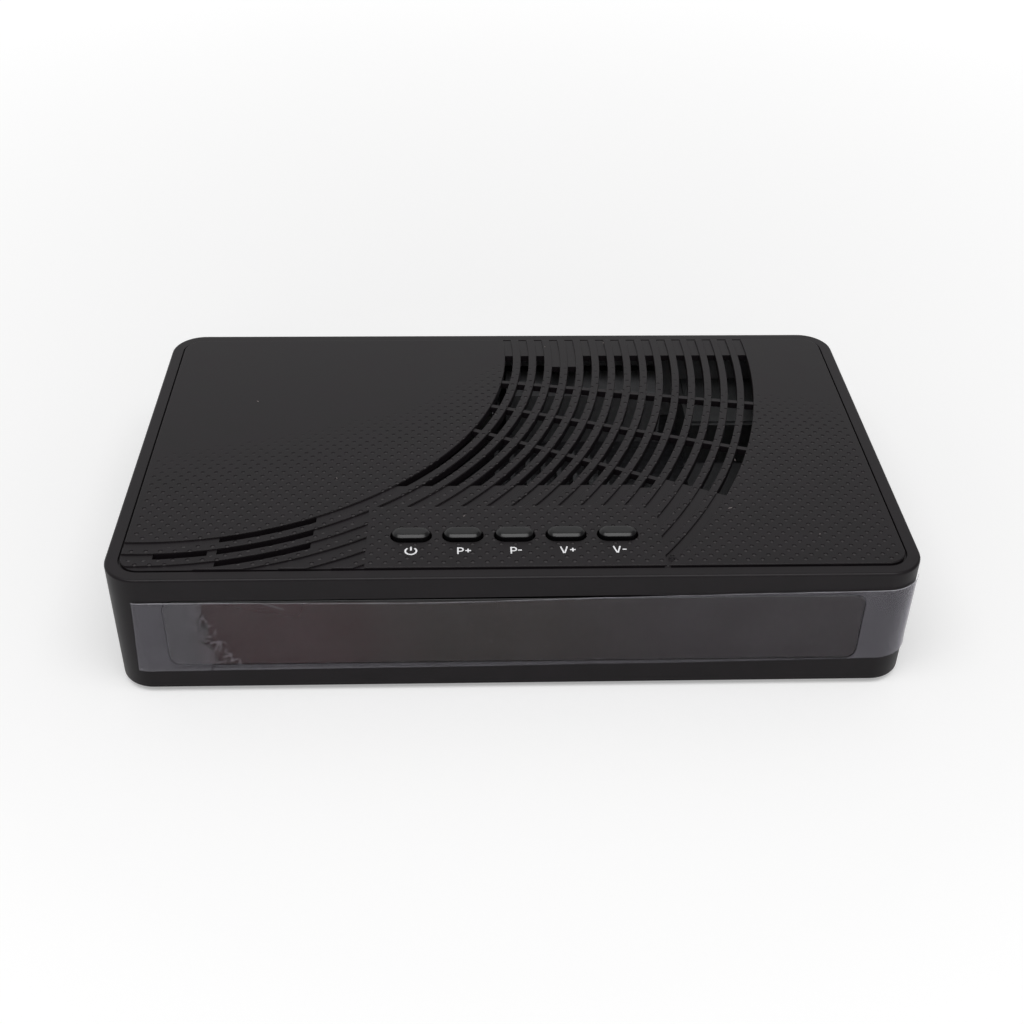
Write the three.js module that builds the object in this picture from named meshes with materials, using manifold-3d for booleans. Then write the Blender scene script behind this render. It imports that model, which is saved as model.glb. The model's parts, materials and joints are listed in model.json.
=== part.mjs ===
// A compact satellite television receiver. Sizes are in millimetres. Seen from the front, +X is to the
// right, +Y to the back and +Z up. The origin is on the shelf, under the middle of the whole outline.

import * as THREE from 'three';
import { mergeVertices } from 'three/addons/utils/BufferGeometryUtils.js';
import Module from 'manifold-3d';

// Case
const bodyWidth = 200;
const bodyDepth = 119.1;
const bodyHeight = 34.5;
const bodyCornerRadius = 9;
const bodyEdgeRadius = 0.6;
const wall = 2.2;
const topThickness = 2.2;
const clearance = 0.3;
const cutOverrun = 1;

// Raised panel on the top, with the rim and the fine groove round it
const rimWidth = 3.4;
const grooveWidth = 0.35;
const grooveDepth = 0.5;
const panelRise = 0.5;

// Curved bands sunk into the panel, all round one centre near the left rear corner
const bandCentreFromLeft = 7.94;
const bandCentreFromRear = 12.29;
const firstBandRadius = 92.09;
const bandPitch = 4.693;
const bandWidth = 2.45;
const bandDepth = 0.45;
const bandCount = 16;
const bandStartAngle = 7;
const bandEndAngle = -97;
const bandCurveSegments = 11;

// Air slots in the bands
const ventRearMargin = 13.05;
const shortVentRearMargin = 19.55;
const shortVentBands = [3, 4];
const ventFrontMargin = 38.25;
const longVentBands = 12;
const bridgeWidth = 1.45;
const firstBridgeAngle = -9.9;
const bridgeAngleStep = -8.45;
const bridgeCount = 3;
const sideVentStart = 11.6;
const sideVentBarStart = 24.55;
const sideVentBarEnd = 26.84;
const sideVentEnd = 49.8;
const sideVentBands = 3;

// Raised field round the buttons, where the bands stop
const buttonFieldWidth = 73.4;
const buttonFieldFromFront = 28.65;
const buttonFieldRadius = 7;

// Push buttons
const buttonPitch = 12.87;
const buttonFromFront = 15.95;
const buttonOpeningWidth = 10.5;
const buttonOpeningDepth = 5.8;
const buttonWidth = 9.4;
const buttonDepth = 4.7;
const buttonProud = 1.4;
const buttonEdgeRadius = 0.7;
const buttonFlangeReach = 1.1;
const buttonFlangeThickness = 1.2;
const buttonStemWidth = 3;
const buttonStemLength = 1.5;
const buttonTravel = 0.5;

// Key switches under the buttons, and their board
const switchWidth = 6;
const switchHeight = 3.5;
const plungerWidth = 3.4;
const plungerProud = 1.5;
const plungerSunk = 1.2;
const keyBoardThickness = 1.2;
const keyBoardDepth = 16;
const keyBoardMargin = 11;
const keyPostWidth = 5;
const keyPinWidth = 2;
const keyPinHeadWidth = 4;
const keyPinHeadHeight = 1;

// Front window and the film over it
const windowFromSide = 14;
const windowFromTop = 6.5;
const windowFromBottom = 7.5;
const windowRadius = 3;
const lensFlangeReach = 2;
const lensFlangeThickness = 1.5;
const filmThickness = 0.15;
const filmOverlap = 1.7;
const filmFromTop = 6.05;
const filmRise = 1.5;
const filmLeftWrapAngle = 15;
const filmRightWrapAngle = 70;

// Base, feet and case screws
const footStand = 1.5;
const footWidth = 12;
const footRecess = 0.8;
const footFromSide = 22;
const footFromEnd = 15.5;
const baseThickness = 2;
const screwFromSide = 8.2;
const screwFromFront = 12.5;
const screwFromRear = 15.5;
const bossWidth = 7;
const screwSeatWidth = 10;
const screwSeatRise = 2;
const screwShankWidth = 2.6;
const screwHeadWidth = 5.6;
const screwHeadHeight = 1.7;
const screwReach = 12;
const baseVentWidth = 2.6;
const baseVentLength = 34;
const baseVentPitch = 6.5;
const baseVentCount = 9;
const baseVentCentreShare = 0.1;

// Rear panel and its opening in the cover
const rearPanelThickness = 1.5;
const rearOpeningMargin = 1.5;
const rearOpeningFromTop = 4.5;
const rearPanelOverlap = 1.5;
const socketSpacing = 4;

// Main board
const boardThickness = 1.6;
const boardToBoss = 1.3;
const boardFromFront = 14.5;
const standoffHeight = 4;
const standoffWidth = 6.4;
const boardScrewShankWidth = 2.2;
const boardScrewHeadWidth = 5.2;
const boardScrewHeadHeight = 1.6;
const boardScrewFromSide = 3.4;
const boardScrewFromFront = 4;
const boardScrewFromRear = 32.1;
const boardScrewReach = 5;

// Tuner with its two threaded dish sockets and their nuts
const tunerWidth = 30;
const tunerDepth = 27;
const tunerHeight = 14;
const tunerLidRise = 0.6;
const tunerLidMargin = 1.2;
const dishSocketPitch = 16;
const dishSocketHeight = 7.6;
const dishThreadWidth = 9.4;
const dishThreadLength = 11;
const dishBoreWidth = 4.8;
const dishBoreDepth = 1.6;
const dishContactWidth = 1.2;
const dishContactDepth = 3;
const dishNutWidth = 12.7;
const dishNutThickness = 2.2;

// Sockets along the rear panel, from the power socket to the television socket
const powerSocketWidth = 9;
const powerSocketHeight = 11;
const powerSocketDepth = 14;
const powerBoreWidth = 6.3;
const powerPinWidth = 2.1;
const powerBoreDepth = 10;
const audioSocketWidth = 10;
const audioSocketHeight = 10;
const audioSocketDepth = 13;
const audioMouthWidth = 6;
const audioMouthDepth = 3;
const audioMouthCorner = 1.2;
const mediaSocketWidth = 14.5;
const mediaSocketHeight = 7.2;
const mediaSocketDepth = 14;
const mediaMouthWidth = 12.6;
const mediaMouthHeight = 4.8;
const mediaTongueWidth = 11.2;
const mediaTongueThickness = 1.7;
const mediaMouthDepth = 11;
const networkSocketWidth = 16;
const networkSocketHeight = 13.6;
const networkSocketDepth = 16;
const networkMouthWidth = 11.8;
const networkMouthHeight = 7;
const networkMouthDepth = 12;
const networkLatchWidth = 6.2;
const networkLatchHeight = 2;
const networkMouthRise = 2.2;
const videoSocketWidth = 15;
const videoSocketHeight = 6.2;
const videoSocketDepth = 12;
const videoMouthWidth = 13.9;
const videoMouthHeight = 4.6;
const videoMouthCorner = 1.4;
const videoTongueWidth = 11.3;
const videoTongueThickness = 1.1;
const videoMouthDepth = 9.5;
const tvSocketWidth = 47;
const tvSocketHeight = 16.6;
const tvSocketDepth = 17;
const tvMouthWidth = 42;
const tvMouthHeight = 12;
const tvMouthCorner = 3;
const tvShieldGap = 1.8;
const tvMouthDepth = 9;

// Processor with its heat sink, and the parts round it
const processorWidth = 27;
const processorThickness = 1.2;
const processorLidWidth = 19;
const processorLidThickness = 0.8;
const heatSinkWidth = 32;
const heatSinkBase = 2.4;
const heatSinkHeight = 11;
const heatSinkFinThickness = 1.3;
const heatSinkFinCount = 8;
const memoryWidth = 8;
const memoryLength = 13.3;
const memoryThickness = 1.2;
const flashWidth = 12;
const flashLength = 18.4;
const flashThickness = 1.1;
const capacitorWidth = 8;
const capacitorHeight = 12;
const capacitorCollar = 0.5;
const inductorWidth = 12;
const inductorHeight = 6;
const inductorCoreWidth = 9;
const inductorFlange = 1.2;
const processorPlaceShares = [0.14, -0.1];
const memoryPlaceShares = [[-0.17, 0.12], [-0.17, -0.26]];
const flashPlaceShares = [-0.4, -0.5];
const capacitorPlaceShares = [[-0.84, 0.24], [-0.7, 0.24]];
const inductorPlaceShares = [-0.68, -0.12];

// Smart card reader behind the slot in the right side
const cardSlotLength = 55.4;
const cardSlotHeight = 2.4;
const readerWidth = 57.4;
const readerDepth = 45;
const readerHeight = 5.2;
const readerSlotHeight = 1.2;
const readerSlotDepth = 38;
const readerFromBoardFront = 8;

// Display board with the display module and the infrared receiver
const displayBoardWidth = 47;
const displayBoardHeight = 23;
const displayBoardThickness = 1.6;
const displayBoardRise = 1.5;
const displayBoardFromSide = 14;
const displayModuleWidth = 34;
const displayModuleHeight = 12;
const displayModuleDepth = 6;
const displayFaceInset = 0.8;
const displayFaceSunk = 0.4;
const displayToLens = 0.5;
const displayModuleFromEnd = 3;
const infraredWidth = 5;
const infraredHeight = 7;
const infraredDepth = 3;
const infraredDomeWidth = 4.2;
const clipWidth = 6;
const clipDepth = 6;
const clipHeight = 6;
const clipInset = 6;

// Flat cables inside
const cableWidth = 10;
const cableThickness = 0.8;
const cablePlugWidth = 11.6;
const cablePlugHeight = 3;
const cablePlugDepth = 4;
const displayCableRise = 9;
const displayCableBend = 5;
const displayCableLead = 3.5;
const keyCablePlace = 20;
const keyCableSway = 3;

// How smooth round pieces are
const nutSides = 6;
const smallRound = 12;
const mediumRound = 16;
const cornerSegments = 3;
const cableSegments = 4;

// Colour, roughness and metalness of each finish
const finishes = {
  casePlastic: [0x2f2e2f, 0.5, 0],
  basePlastic: [0x262526, 0.6, 0],
  rearPlastic: [0x1f1f20, 0.45, 0],
  buttonPlastic: [0x2b2a2b, 0.45, 0],
  smokedWindow: [0x241c1c, 0.15, 0],
  clearFilm: [0x8f8b92, 0.3, 0],
  footRubber: [0x1a1a1a, 0.9, 0],
  screwSteel: [0x9a9a98, 0.35, 1],
  boardGreen: [0x1d5a34, 0.55, 0],
  platedSteel: [0xbdbdbb, 0.35, 1],
  nickel: [0xc9c7c2, 0.3, 1],
  socketPlastic: [0x171717, 0.5, 0],
  chipPlastic: [0x202224, 0.5, 0],
  aluminium: [0x9a9c9e, 0.45, 1],
  capacitorSleeve: [0x23262f, 0.4, 0],
  ferrite: [0x3a3a3c, 0.7, 0],
  displayPlastic: [0x2a2523, 0.4, 0],
  cableWhite: [0xd8d6cf, 0.6, 0],
};

// Levels and places that follow from the sizes
const halfWidth = bodyWidth / 2;
const halfDepth = bodyDepth / 2;
const underside = footStand;
const rimTop = underside + bodyHeight;
const panelTop = rimTop + panelRise;
const ceiling = panelTop - topThickness;
const innerHalfWidth = halfWidth - wall;
const innerHalfDepth = halfDepth - wall;
const innerCornerRadius = bodyCornerRadius - wall;
const panelHalfWidth = halfWidth - rimWidth - grooveWidth;
const panelHalfDepth = halfDepth - rimWidth - grooveWidth;
const baseTop = underside + baseThickness;
const screwSeatTop = baseTop + screwSeatRise;
const boardBottom = baseTop + standoffHeight;
const boardTop = boardBottom + boardThickness;
const rearPanelBack = innerHalfDepth;
const rearPanelFront = rearPanelBack - rearPanelThickness;
const rearPanelTop = rimTop - rearOpeningFromTop + rearPanelOverlap;
const rearOpeningWidth = bodyWidth - 2 * (bodyCornerRadius + rearPanelOverlap + rearOpeningMargin);
const boardWidth = bodyWidth - 2 * (screwFromSide + bossWidth / 2 + boardToBoss);
const boardFront = -halfDepth + boardFromFront;
const boardBack = rearPanelFront - clearance;
const boardDepth = boardBack - boardFront;
const boardCentreY = (boardFront + boardBack) / 2;
const bandCentreX = -halfWidth + bandCentreFromLeft;
const bandCentreY = halfDepth - bandCentreFromRear;
const buttonY = -halfDepth + buttonFromFront;
const flangeTop = ceiling - clearance;
const flangeBottom = flangeTop - buttonFlangeThickness;
const stemBottom = flangeBottom - buttonStemLength;
const switchTop = stemBottom - plungerProud;
const keyBoardTop = switchTop - switchHeight;
const keyBoardBottom = keyBoardTop - keyBoardThickness;
const windowWidth = bodyWidth - 2 * windowFromSide;
const windowHeight = bodyHeight - windowFromTop - windowFromBottom;
const filmHeight = windowHeight + filmOverlap;
const windowTop = rimTop - windowFromTop;
const windowMiddle = windowTop - windowHeight / 2;
const lensBack = -innerHalfDepth + lensFlangeThickness;
const filmReach = clearance + filmThickness;
const socketReach = dishThreadLength - wall;
const bodyShift = (filmReach - socketReach) / 2;
const tunerRight = rearOpeningWidth / 2 - socketSpacing;
const tunerX = tunerRight - tunerWidth / 2;
const dishSocketZ = boardTop + dishSocketHeight;
const keyNames = ['power', 'channel_up', 'channel_down', 'volume_up', 'volume_down'];

const wasm = await Module();
wasm.setup();

// Turns a closed geometry into a solid that can be joined and cut.
function solid(geometry) {
  const bare = geometry.index ? geometry.toNonIndexed() : geometry;
  bare.deleteAttribute('normal');
  bare.deleteAttribute('uv');
  const merged = mergeVertices(bare);
  return new wasm.Manifold(new wasm.Mesh({
    numProp: 3,
    vertProperties: new Float32Array(merged.attributes.position.array),
    triVerts: new Uint32Array(merged.index.array),
  }));
}

// Turns a solid back into flat-shaded geometry.
function geometryOf(body) {
  const { numProp, vertProperties, triVerts } = body.getMesh();
  const positions = new Float32Array(vertProperties.length / numProp * 3);
  for (let i = 0; i < positions.length / 3; i += 1) {
    positions.set(vertProperties.subarray(i * numProp, i * numProp + 3), i * 3);
  }
  const geometry = new THREE.BufferGeometry();
  geometry.setAttribute('position', new THREE.BufferAttribute(positions, 3));
  geometry.setIndex(new THREE.BufferAttribute(new Uint32Array(triVerts), 1));
  const flat = geometry.toNonIndexed();
  flat.computeVertexNormals();
  return flat;
}

const join = (...bodies) => bodies.flat().reduce((whole, body) => whole.add(body));

// A block between two opposite corners.
function block(low, high) {
  const size = high.map((value, axis) => value - low[axis]);
  const geometry = new THREE.BoxGeometry(...size);
  geometry.translate(...low.map((value, axis) => value + size[axis] / 2));
  return solid(geometry);
}

// A block that stands on a level, centred in plan.
function standing(x, y, z, width, depth, height) {
  return block([x - width / 2, y - depth / 2, z], [x + width / 2, y + depth / 2, z + height]);
}

// An upright round rod.
function rod(x, y, z, width, height, sides = smallRound) {
  const geometry = new THREE.CylinderGeometry(width / 2, width / 2, height, sides);
  geometry.rotateX(Math.PI / 2);
  geometry.translate(x, y, z + height / 2);
  return solid(geometry);
}

// A round rod along Y, from one depth to another.
function rodAlongY(x, z, width, fromY, toY, sides = mediumRound) {
  const geometry = new THREE.CylinderGeometry(width / 2, width / 2, toY - fromY, sides);
  geometry.translate(x, (fromY + toY) / 2, z);
  return solid(geometry);
}

// A rectangle with round corners; each corner can have a radius of its own.
function roundedRectangle(x, y, width, depth, radius) {
  const radii = Array.isArray(radius) ? radius : Array(4).fill(radius);
  const [rearRight, rearLeft, frontLeft, frontRight] = radii;
  const [left, right] = [x - width / 2, x + width / 2];
  const [front, rear] = [y - depth / 2, y + depth / 2];
  const quarter = Math.PI / 2;
  const shape = new THREE.Shape();
  const corner = (cornerX, cornerY, size, start) => {
    if (size > 0) shape.absarc(cornerX, cornerY, size, start, start + quarter, false);
    else if (shape.curves.length === 0 && start === 0) shape.moveTo(cornerX, cornerY);
    else shape.lineTo(cornerX, cornerY);
  };
  corner(right - rearRight, rear - rearRight, rearRight, 0);
  corner(left + rearLeft, rear - rearLeft, rearLeft, quarter);
  corner(left + frontLeft, front + frontLeft, frontLeft, 2 * quarter);
  corner(right - frontRight, front + frontRight, frontRight, 3 * quarter);
  shape.closePath();
  return shape;
}

// An upright prism of a shape, between two levels.
function prism(shape, bottom, top, segments = cornerSegments) {
  const geometry = new THREE.ExtrudeGeometry(shape, {
    depth: top - bottom,
    bevelEnabled: false,
    curveSegments: segments,
  });
  geometry.translate(0, 0, bottom);
  return solid(geometry);
}

// The same prism with its upper edge broken.
function crownedPrism(shape, bottom, top, edge, segments = cornerSegments) {
  const crown = new THREE.ExtrudeGeometry(shape, {
    depth: (top - bottom) / 2 - edge,
    bevelEnabled: true,
    bevelThickness: edge,
    bevelSize: edge,
    bevelOffset: -edge,
    bevelSegments: 1,
    curveSegments: segments,
  });
  const crownHeight = (top - bottom) / 2 + edge;
  crown.translate(0, 0, top - crownHeight + edge);
  return prism(shape, bottom, top - 2 * edge, segments).add(solid(crown));
}

// A prism along Y of a shape drawn in X and Z.
function prismAlongY(shape, fromY, toY, segments = cornerSegments) {
  const geometry = new THREE.ExtrudeGeometry(shape, {
    depth: toY - fromY,
    bevelEnabled: false,
    curveSegments: segments,
  });
  geometry.rotateX(Math.PI / 2);
  geometry.translate(0, toY, 0);
  return solid(geometry);
}

// A closed outline drawn through points.
const outline = (points) => new THREE.Shape(points.map(([x, y]) => new THREE.Vector2(x, y)));

const receiver = new THREE.Group();
receiver.position.y = bodyShift;

// Adds a finished solid to the receiver as a named mesh.
function piece(name, body, finish) {
  const [color, roughness, metalness] = finishes[finish];
  const material = new THREE.MeshStandardMaterial({ color, roughness, metalness });
  const mesh = new THREE.Mesh(geometryOf(body), material);
  mesh.name = name;
  receiver.add(mesh);
}

// One whole band: part of a ring, through the full thickness of the top.
function band(number) {
  const inner = firstBandRadius + number * bandPitch;
  const start = THREE.MathUtils.degToRad(bandStartAngle);
  const end = THREE.MathUtils.degToRad(bandEndAngle);
  const shape = new THREE.Shape();
  shape.absarc(bandCentreX, bandCentreY, inner + bandWidth, start, end, true);
  shape.absarc(bandCentreX, bandCentreY, inner, end, start, false);
  shape.closePath();
  return prism(shape, ceiling - cutOverrun, panelTop + cutOverrun, bandCurveSegments);
}

// The area of the main slots of one band: between its rear and front limits, less the bridges. The
// outer bands stop at the last bridge.
function ventArea(number) {
  const rearMargin = shortVentBands.includes(number) ? shortVentRearMargin : ventRearMargin;
  const rear = halfDepth - rearMargin;
  const front = -halfDepth + ventFrontMargin;
  const bottom = ceiling - cutOverrun;
  const top = panelTop + cutOverrun;
  let area = block([bandCentreX, front, bottom], [panelHalfWidth, rear, top]);
  const reach = 2 * panelHalfWidth;
  for (let i = 0; i < bridgeCount; i += 1) {
    const isLast = i === bridgeCount - 1 && number >= longVentBands;
    const depth = isLast ? reach : bridgeWidth;
    const bridge = new THREE.BoxGeometry(reach, depth, top - bottom);
    bridge.translate(reach / 2, bridgeWidth / 2 - depth / 2, (top + bottom) / 2);
    bridge.rotateZ(THREE.MathUtils.degToRad(firstBridgeAngle + i * bridgeAngleStep));
    bridge.translate(bandCentreX, bandCentreY, 0);
    area = area.subtract(solid(bridge));
  }
  return area;
}

// The slots at the front left run between two distances from the left side.
function sideVentArea(fromLeft, toLeft) {
  const low = [-halfWidth + fromLeft, -halfDepth, ceiling - cutOverrun];
  return block(low, [-halfWidth + toLeft, 0, panelTop + cutOverrun]);
}

function ventOf(number) {
  const ring = band(number);
  const parts = [ring.intersect(ventArea(number))];
  if (number < sideVentBands) parts.push(ring.intersect(sideVentArea(sideVentBarEnd, sideVentEnd)));
  if (number === 1) parts.push(ring.intersect(sideVentArea(sideVentStart, sideVentBarStart)));
  return join(parts);
}

const bandNumbers = Array.from({ length: bandCount }, (_, number) => number);
const bodyShape = roundedRectangle(0, 0, bodyWidth, bodyDepth, bodyCornerRadius);
const innerShape = roundedRectangle(0, 0, 2 * innerHalfWidth, 2 * innerHalfDepth, innerCornerRadius);
const panelShape = roundedRectangle(
  0, 0, 2 * panelHalfWidth, 2 * panelHalfDepth, bodyCornerRadius - rimWidth - grooveWidth,
);
const grooveShape = roundedRectangle(
  0, 0, bodyWidth - 2 * rimWidth, bodyDepth - 2 * rimWidth, bodyCornerRadius - rimWidth,
);

// Places of the five keys, from left to right.
const keyPlaces = keyNames.map((name, i) => (i - (keyNames.length - 1) / 2) * buttonPitch);

// A stadium: a rectangle whose ends are half circles.
const stadium = (x, y, width, depth) => roundedRectangle(x, y, width, depth, depth / 2);

// Where the posts of the key board stand, one near each of its corners.
const keyBoardHalfWidth = 2 * buttonPitch + keyBoardMargin;
const keyPostInset = keyPostWidth / 2 + clearance;
const keyPostPlaces = [-1, 1].flatMap((side) => [-1, 1].map((end) => [
  side * (keyBoardHalfWidth - keyPostInset),
  buttonY + end * (keyBoardDepth / 2 - keyPostInset),
]));

const screwPlaces = [-1, 1].flatMap((side) => [
  [side * (halfWidth - screwFromSide), -halfDepth + screwFromFront],
  [side * (halfWidth - screwFromSide), halfDepth - screwFromRear],
]);

const boardScrewRows = [boardFront + boardScrewFromFront, boardBack - boardScrewFromRear];
const boardScrewPlaces = [-1, 1].flatMap((side) => boardScrewRows
  .map((y) => [side * (boardWidth / 2 - boardScrewFromSide), y]));

const readerY = boardFront + readerFromBoardFront + readerWidth / 2;
const readerSlotZ = boardTop + readerHeight / 2;

const displayBoardLeft = -halfWidth + displayBoardFromSide;
const displayModuleFront = lensBack + displayToLens;
const displayBoardFront = displayModuleFront + displayModuleDepth;
const displayBoardBack = displayBoardFront + displayBoardThickness;
const displayBoardBottom = baseTop + displayBoardRise;
const clipPlaces = [displayBoardLeft + clipInset, displayBoardLeft + displayBoardWidth - clipInset];
const footPlaces = [-1, 1].flatMap((side) => [-1, 1].map((end) => [
  side * (halfWidth - footFromSide), end * (halfDepth - footFromEnd),
]));

// The cover is one moulding: top, front, sides and the frame round the rear panel.
function makeTopCover() {
  let cover = crownedPrism(bodyShape, underside, rimTop, bodyEdgeRadius);
  cover = cover.subtract(prism(grooveShape, rimTop - grooveDepth, rimTop + cutOverrun));
  cover = cover.add(prism(panelShape, ceiling, panelTop));
  cover = cover.subtract(prism(innerShape, underside - cutOverrun, ceiling));

  const rings = join(bandNumbers.map(band));
  const buttonField = prism(
    roundedRectangle(
      0, -halfDepth + buttonFieldFromFront / 2, buttonFieldWidth, buttonFieldFromFront,
      [buttonFieldRadius, 0, 0, 0],
    ),
    ceiling - cutOverrun,
    panelTop + cutOverrun,
  );
  const sunk = prism(panelShape, panelTop - bandDepth, panelTop + cutOverrun);
  cover = cover.subtract(rings.intersect(sunk).subtract(buttonField));
  cover = cover.subtract(join(bandNumbers.map(ventOf)));

  for (const x of keyPlaces) {
    const opening = stadium(x, buttonY, buttonOpeningWidth, buttonOpeningDepth);
    cover = cover.subtract(prism(opening, ceiling - cutOverrun, panelTop + cutOverrun));
  }

  const windowShape = roundedRectangle(0, windowMiddle, windowWidth, windowHeight, windowRadius);
  cover = cover.subtract(prismAlongY(windowShape, -halfDepth - cutOverrun, -innerHalfDepth + cutOverrun));
  cover = cover.subtract(block(
    [-rearOpeningWidth / 2, innerHalfDepth - cutOverrun, underside - cutOverrun],
    [rearOpeningWidth / 2, halfDepth + cutOverrun, rimTop - rearOpeningFromTop],
  ));
  cover = cover.subtract(block(
    [innerHalfWidth - cutOverrun, readerY - cardSlotLength / 2, readerSlotZ - cardSlotHeight / 2],
    [halfWidth + cutOverrun, readerY + cardSlotLength / 2, readerSlotZ + cardSlotHeight / 2],
  ));

  for (const [x, y] of screwPlaces) {
    cover = cover.add(rod(x, y, screwSeatTop, bossWidth, ceiling + cutOverrun - screwSeatTop));
    const boreWidth = screwShankWidth + 2 * clearance;
    const bore = rod(x, y, screwSeatTop - cutOverrun, boreWidth, screwReach + cutOverrun);
    cover = cover.subtract(bore);
  }
  for (const [x, y] of keyPostPlaces) {
    cover = cover.add(rod(x, y, keyBoardTop, keyPostWidth, ceiling + cutOverrun - keyBoardTop));
    const pinLength = keyBoardThickness + keyPinHeadHeight + cutOverrun;
    cover = cover.add(rod(x, y, keyBoardBottom - keyPinHeadHeight, keyPinWidth, pinLength));
    cover = cover.add(rod(x, y, keyBoardBottom - keyPinHeadHeight, keyPinHeadWidth, keyPinHeadHeight));
  }
  return cover;
}

// The base drops into the cover from below, with a tongue under the rear panel.
function makeBase() {
  const plate = roundedRectangle(
    0, 0, 2 * (innerHalfWidth - clearance), 2 * (innerHalfDepth - clearance), innerCornerRadius - clearance,
  );
  let base = prism(plate, underside, baseTop);
  base = base.add(block(
    [-rearOpeningWidth / 2 + clearance, 0, underside],
    [rearOpeningWidth / 2 - clearance, halfDepth, baseTop],
  ));
  for (const [x, y] of screwPlaces) {
    base = base.add(rod(x, y, underside, screwSeatWidth, screwSeatTop - underside));
    const headBore = rod(
      x, y, underside - cutOverrun, screwHeadWidth + 2 * clearance, screwHeadHeight + clearance + cutOverrun,
    );
    base = base.subtract(headBore);
    const throughBore = rod(
      x, y, underside, screwShankWidth + 2 * clearance, screwSeatTop + cutOverrun - underside,
    );
    base = base.subtract(throughBore);
  }
  for (const [x, y] of boardScrewPlaces) {
    base = base.add(rod(x, y, baseTop - cutOverrun, standoffWidth, standoffHeight + cutOverrun));
    const pilotReach = boardScrewReach - boardThickness + clearance;
    base = base.subtract(rod(
      x, y, boardBottom - pilotReach, boardScrewShankWidth + 2 * clearance, pilotReach + cutOverrun,
    ));
  }
  for (const [x, y] of footPlaces) {
    base = base.subtract(rod(
      x, y, underside - cutOverrun, footWidth + 2 * clearance, footRecess + cutOverrun, mediumRound,
    ));
  }
  for (let i = 0; i < baseVentCount; i += 1) {
    const x = halfWidth * baseVentCentreShare + (i - (baseVentCount - 1) / 2) * baseVentPitch;
    const length = baseThickness + 2 * cutOverrun;
    base = base.subtract(standing(x, 0, underside - cutOverrun, baseVentWidth, baseVentLength, length));
  }
  for (const x of clipPlaces) {
    const low = displayBoardFront + displayBoardThickness / 2;
    base = base.add(standing(x, low, baseTop - cutOverrun, clipWidth, clipDepth, clipHeight + cutOverrun));
    base = base.subtract(block(
      [x - clipWidth, displayBoardFront - clearance, displayBoardBottom],
      [x + clipWidth, displayBoardBack + clearance, baseTop + clipHeight + cutOverrun],
    ));
  }
  return base;
}

// A screw that points up: a round head below, then the shank.
function screwUp(x, y, headBottom, headWidth, headHeight, shankWidth, reach) {
  const head = rod(x, y, headBottom, headWidth, headHeight);
  return head.add(rod(x, y, headBottom, shankWidth, headHeight + reach));
}

// A screw that points down: a round head on top of the board.
function screwDown(x, y, seat, headWidth, headHeight, shankWidth, reach) {
  const head = rod(x, y, seat, headWidth, headHeight);
  return head.add(rod(x, y, seat - reach, shankWidth, reach + headHeight / 2));
}

// A flat cable: a strip of even thickness along a curve in Y and Z, with a plug at each end.
function flatCable(x, curve, plugs) {
  const points = curve.getPoints(cableSegments);
  const sides = [-1, 1].map((side) => points.map((point, i) => {
    const before = points[Math.max(i - 1, 0)];
    const after = points[Math.min(i + 1, points.length - 1)];
    const along = after.clone().sub(before).normalize();
    const offset = side * cableThickness / 2;
    return [point.x - along.y * offset, point.y + along.x * offset];
  }));
  const strip = new THREE.ExtrudeGeometry(outline([...sides[0], ...sides[1].reverse()]), {
    depth: cableWidth,
    bevelEnabled: false,
  });
  strip.rotateY(Math.PI / 2);
  strip.rotateX(Math.PI / 2);
  strip.translate(x - cableWidth / 2, 0, 0);
  return join(solid(strip), plugs);
}

// The height where a socket's opening in the rear panel is centred, for a socket on the board.
const onBoard = (height) => boardTop + height / 2;

// Sockets in a row: each stands beside the last one, with the same spacing.
const socketSizes = {
  power_socket: [powerSocketWidth, powerSocketHeight],
  audio_socket: [audioSocketWidth, audioSocketHeight],
  media_socket: [mediaSocketWidth, mediaSocketHeight],
  network_socket: [networkSocketWidth, networkSocketHeight],
  video_socket: [videoSocketWidth, videoSocketHeight],
  television_socket: [tvSocketWidth, tvSocketHeight],
};
const socketPlaces = {};
let rowEnd = -rearOpeningWidth / 2;
for (const [name, [width]] of Object.entries(socketSizes)) {
  socketPlaces[name] = rowEnd + socketSpacing + width / 2;
  rowEnd += socketSpacing + width;
}

const dishPlaces = {
  dish_out: tunerX - dishSocketPitch / 2,
  dish_in: tunerX + dishSocketPitch / 2,
};

// The rear panel stands on the base behind the frame of the cover, with an opening for each socket.
function makeRearPanel() {
  let panel = block(
    [-rearOpeningWidth / 2 - rearPanelOverlap, rearPanelFront, baseTop],
    [rearOpeningWidth / 2 + rearPanelOverlap, rearPanelBack, rearPanelTop],
  );
  for (const [name, [width, height]] of Object.entries(socketSizes)) {
    const x = socketPlaces[name];
    panel = panel.subtract(block(
      [x - width / 2 - clearance, rearPanelFront - cutOverrun, boardTop - clearance],
      [x + width / 2 + clearance, rearPanelBack + cutOverrun, boardTop + height + clearance],
    ));
  }
  for (const x of Object.values(dishPlaces)) {
    const width = dishThreadWidth + 2 * clearance;
    panel = panel.subtract(rodAlongY(
      x, dishSocketZ, width, rearPanelFront - cutOverrun, rearPanelBack + cutOverrun,
    ));
  }
  return panel;
}

// The plain housing of a socket, standing on the board and flush with the rear panel.
function housing(name, depth) {
  const [width, height] = socketSizes[name];
  const x = socketPlaces[name];
  return block(
    [x - width / 2, rearPanelBack - depth, boardTop],
    [x + width / 2, rearPanelBack, boardTop + height],
  );
}

// A mouth cut into a housing from the back.
function mouth(shape, depth) {
  return prismAlongY(shape, rearPanelBack - depth, rearPanelBack + cutOverrun);
}

function rectangleAt(x, z, width, height) {
  return roundedRectangle(x, z, width, height, 0);
}

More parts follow.
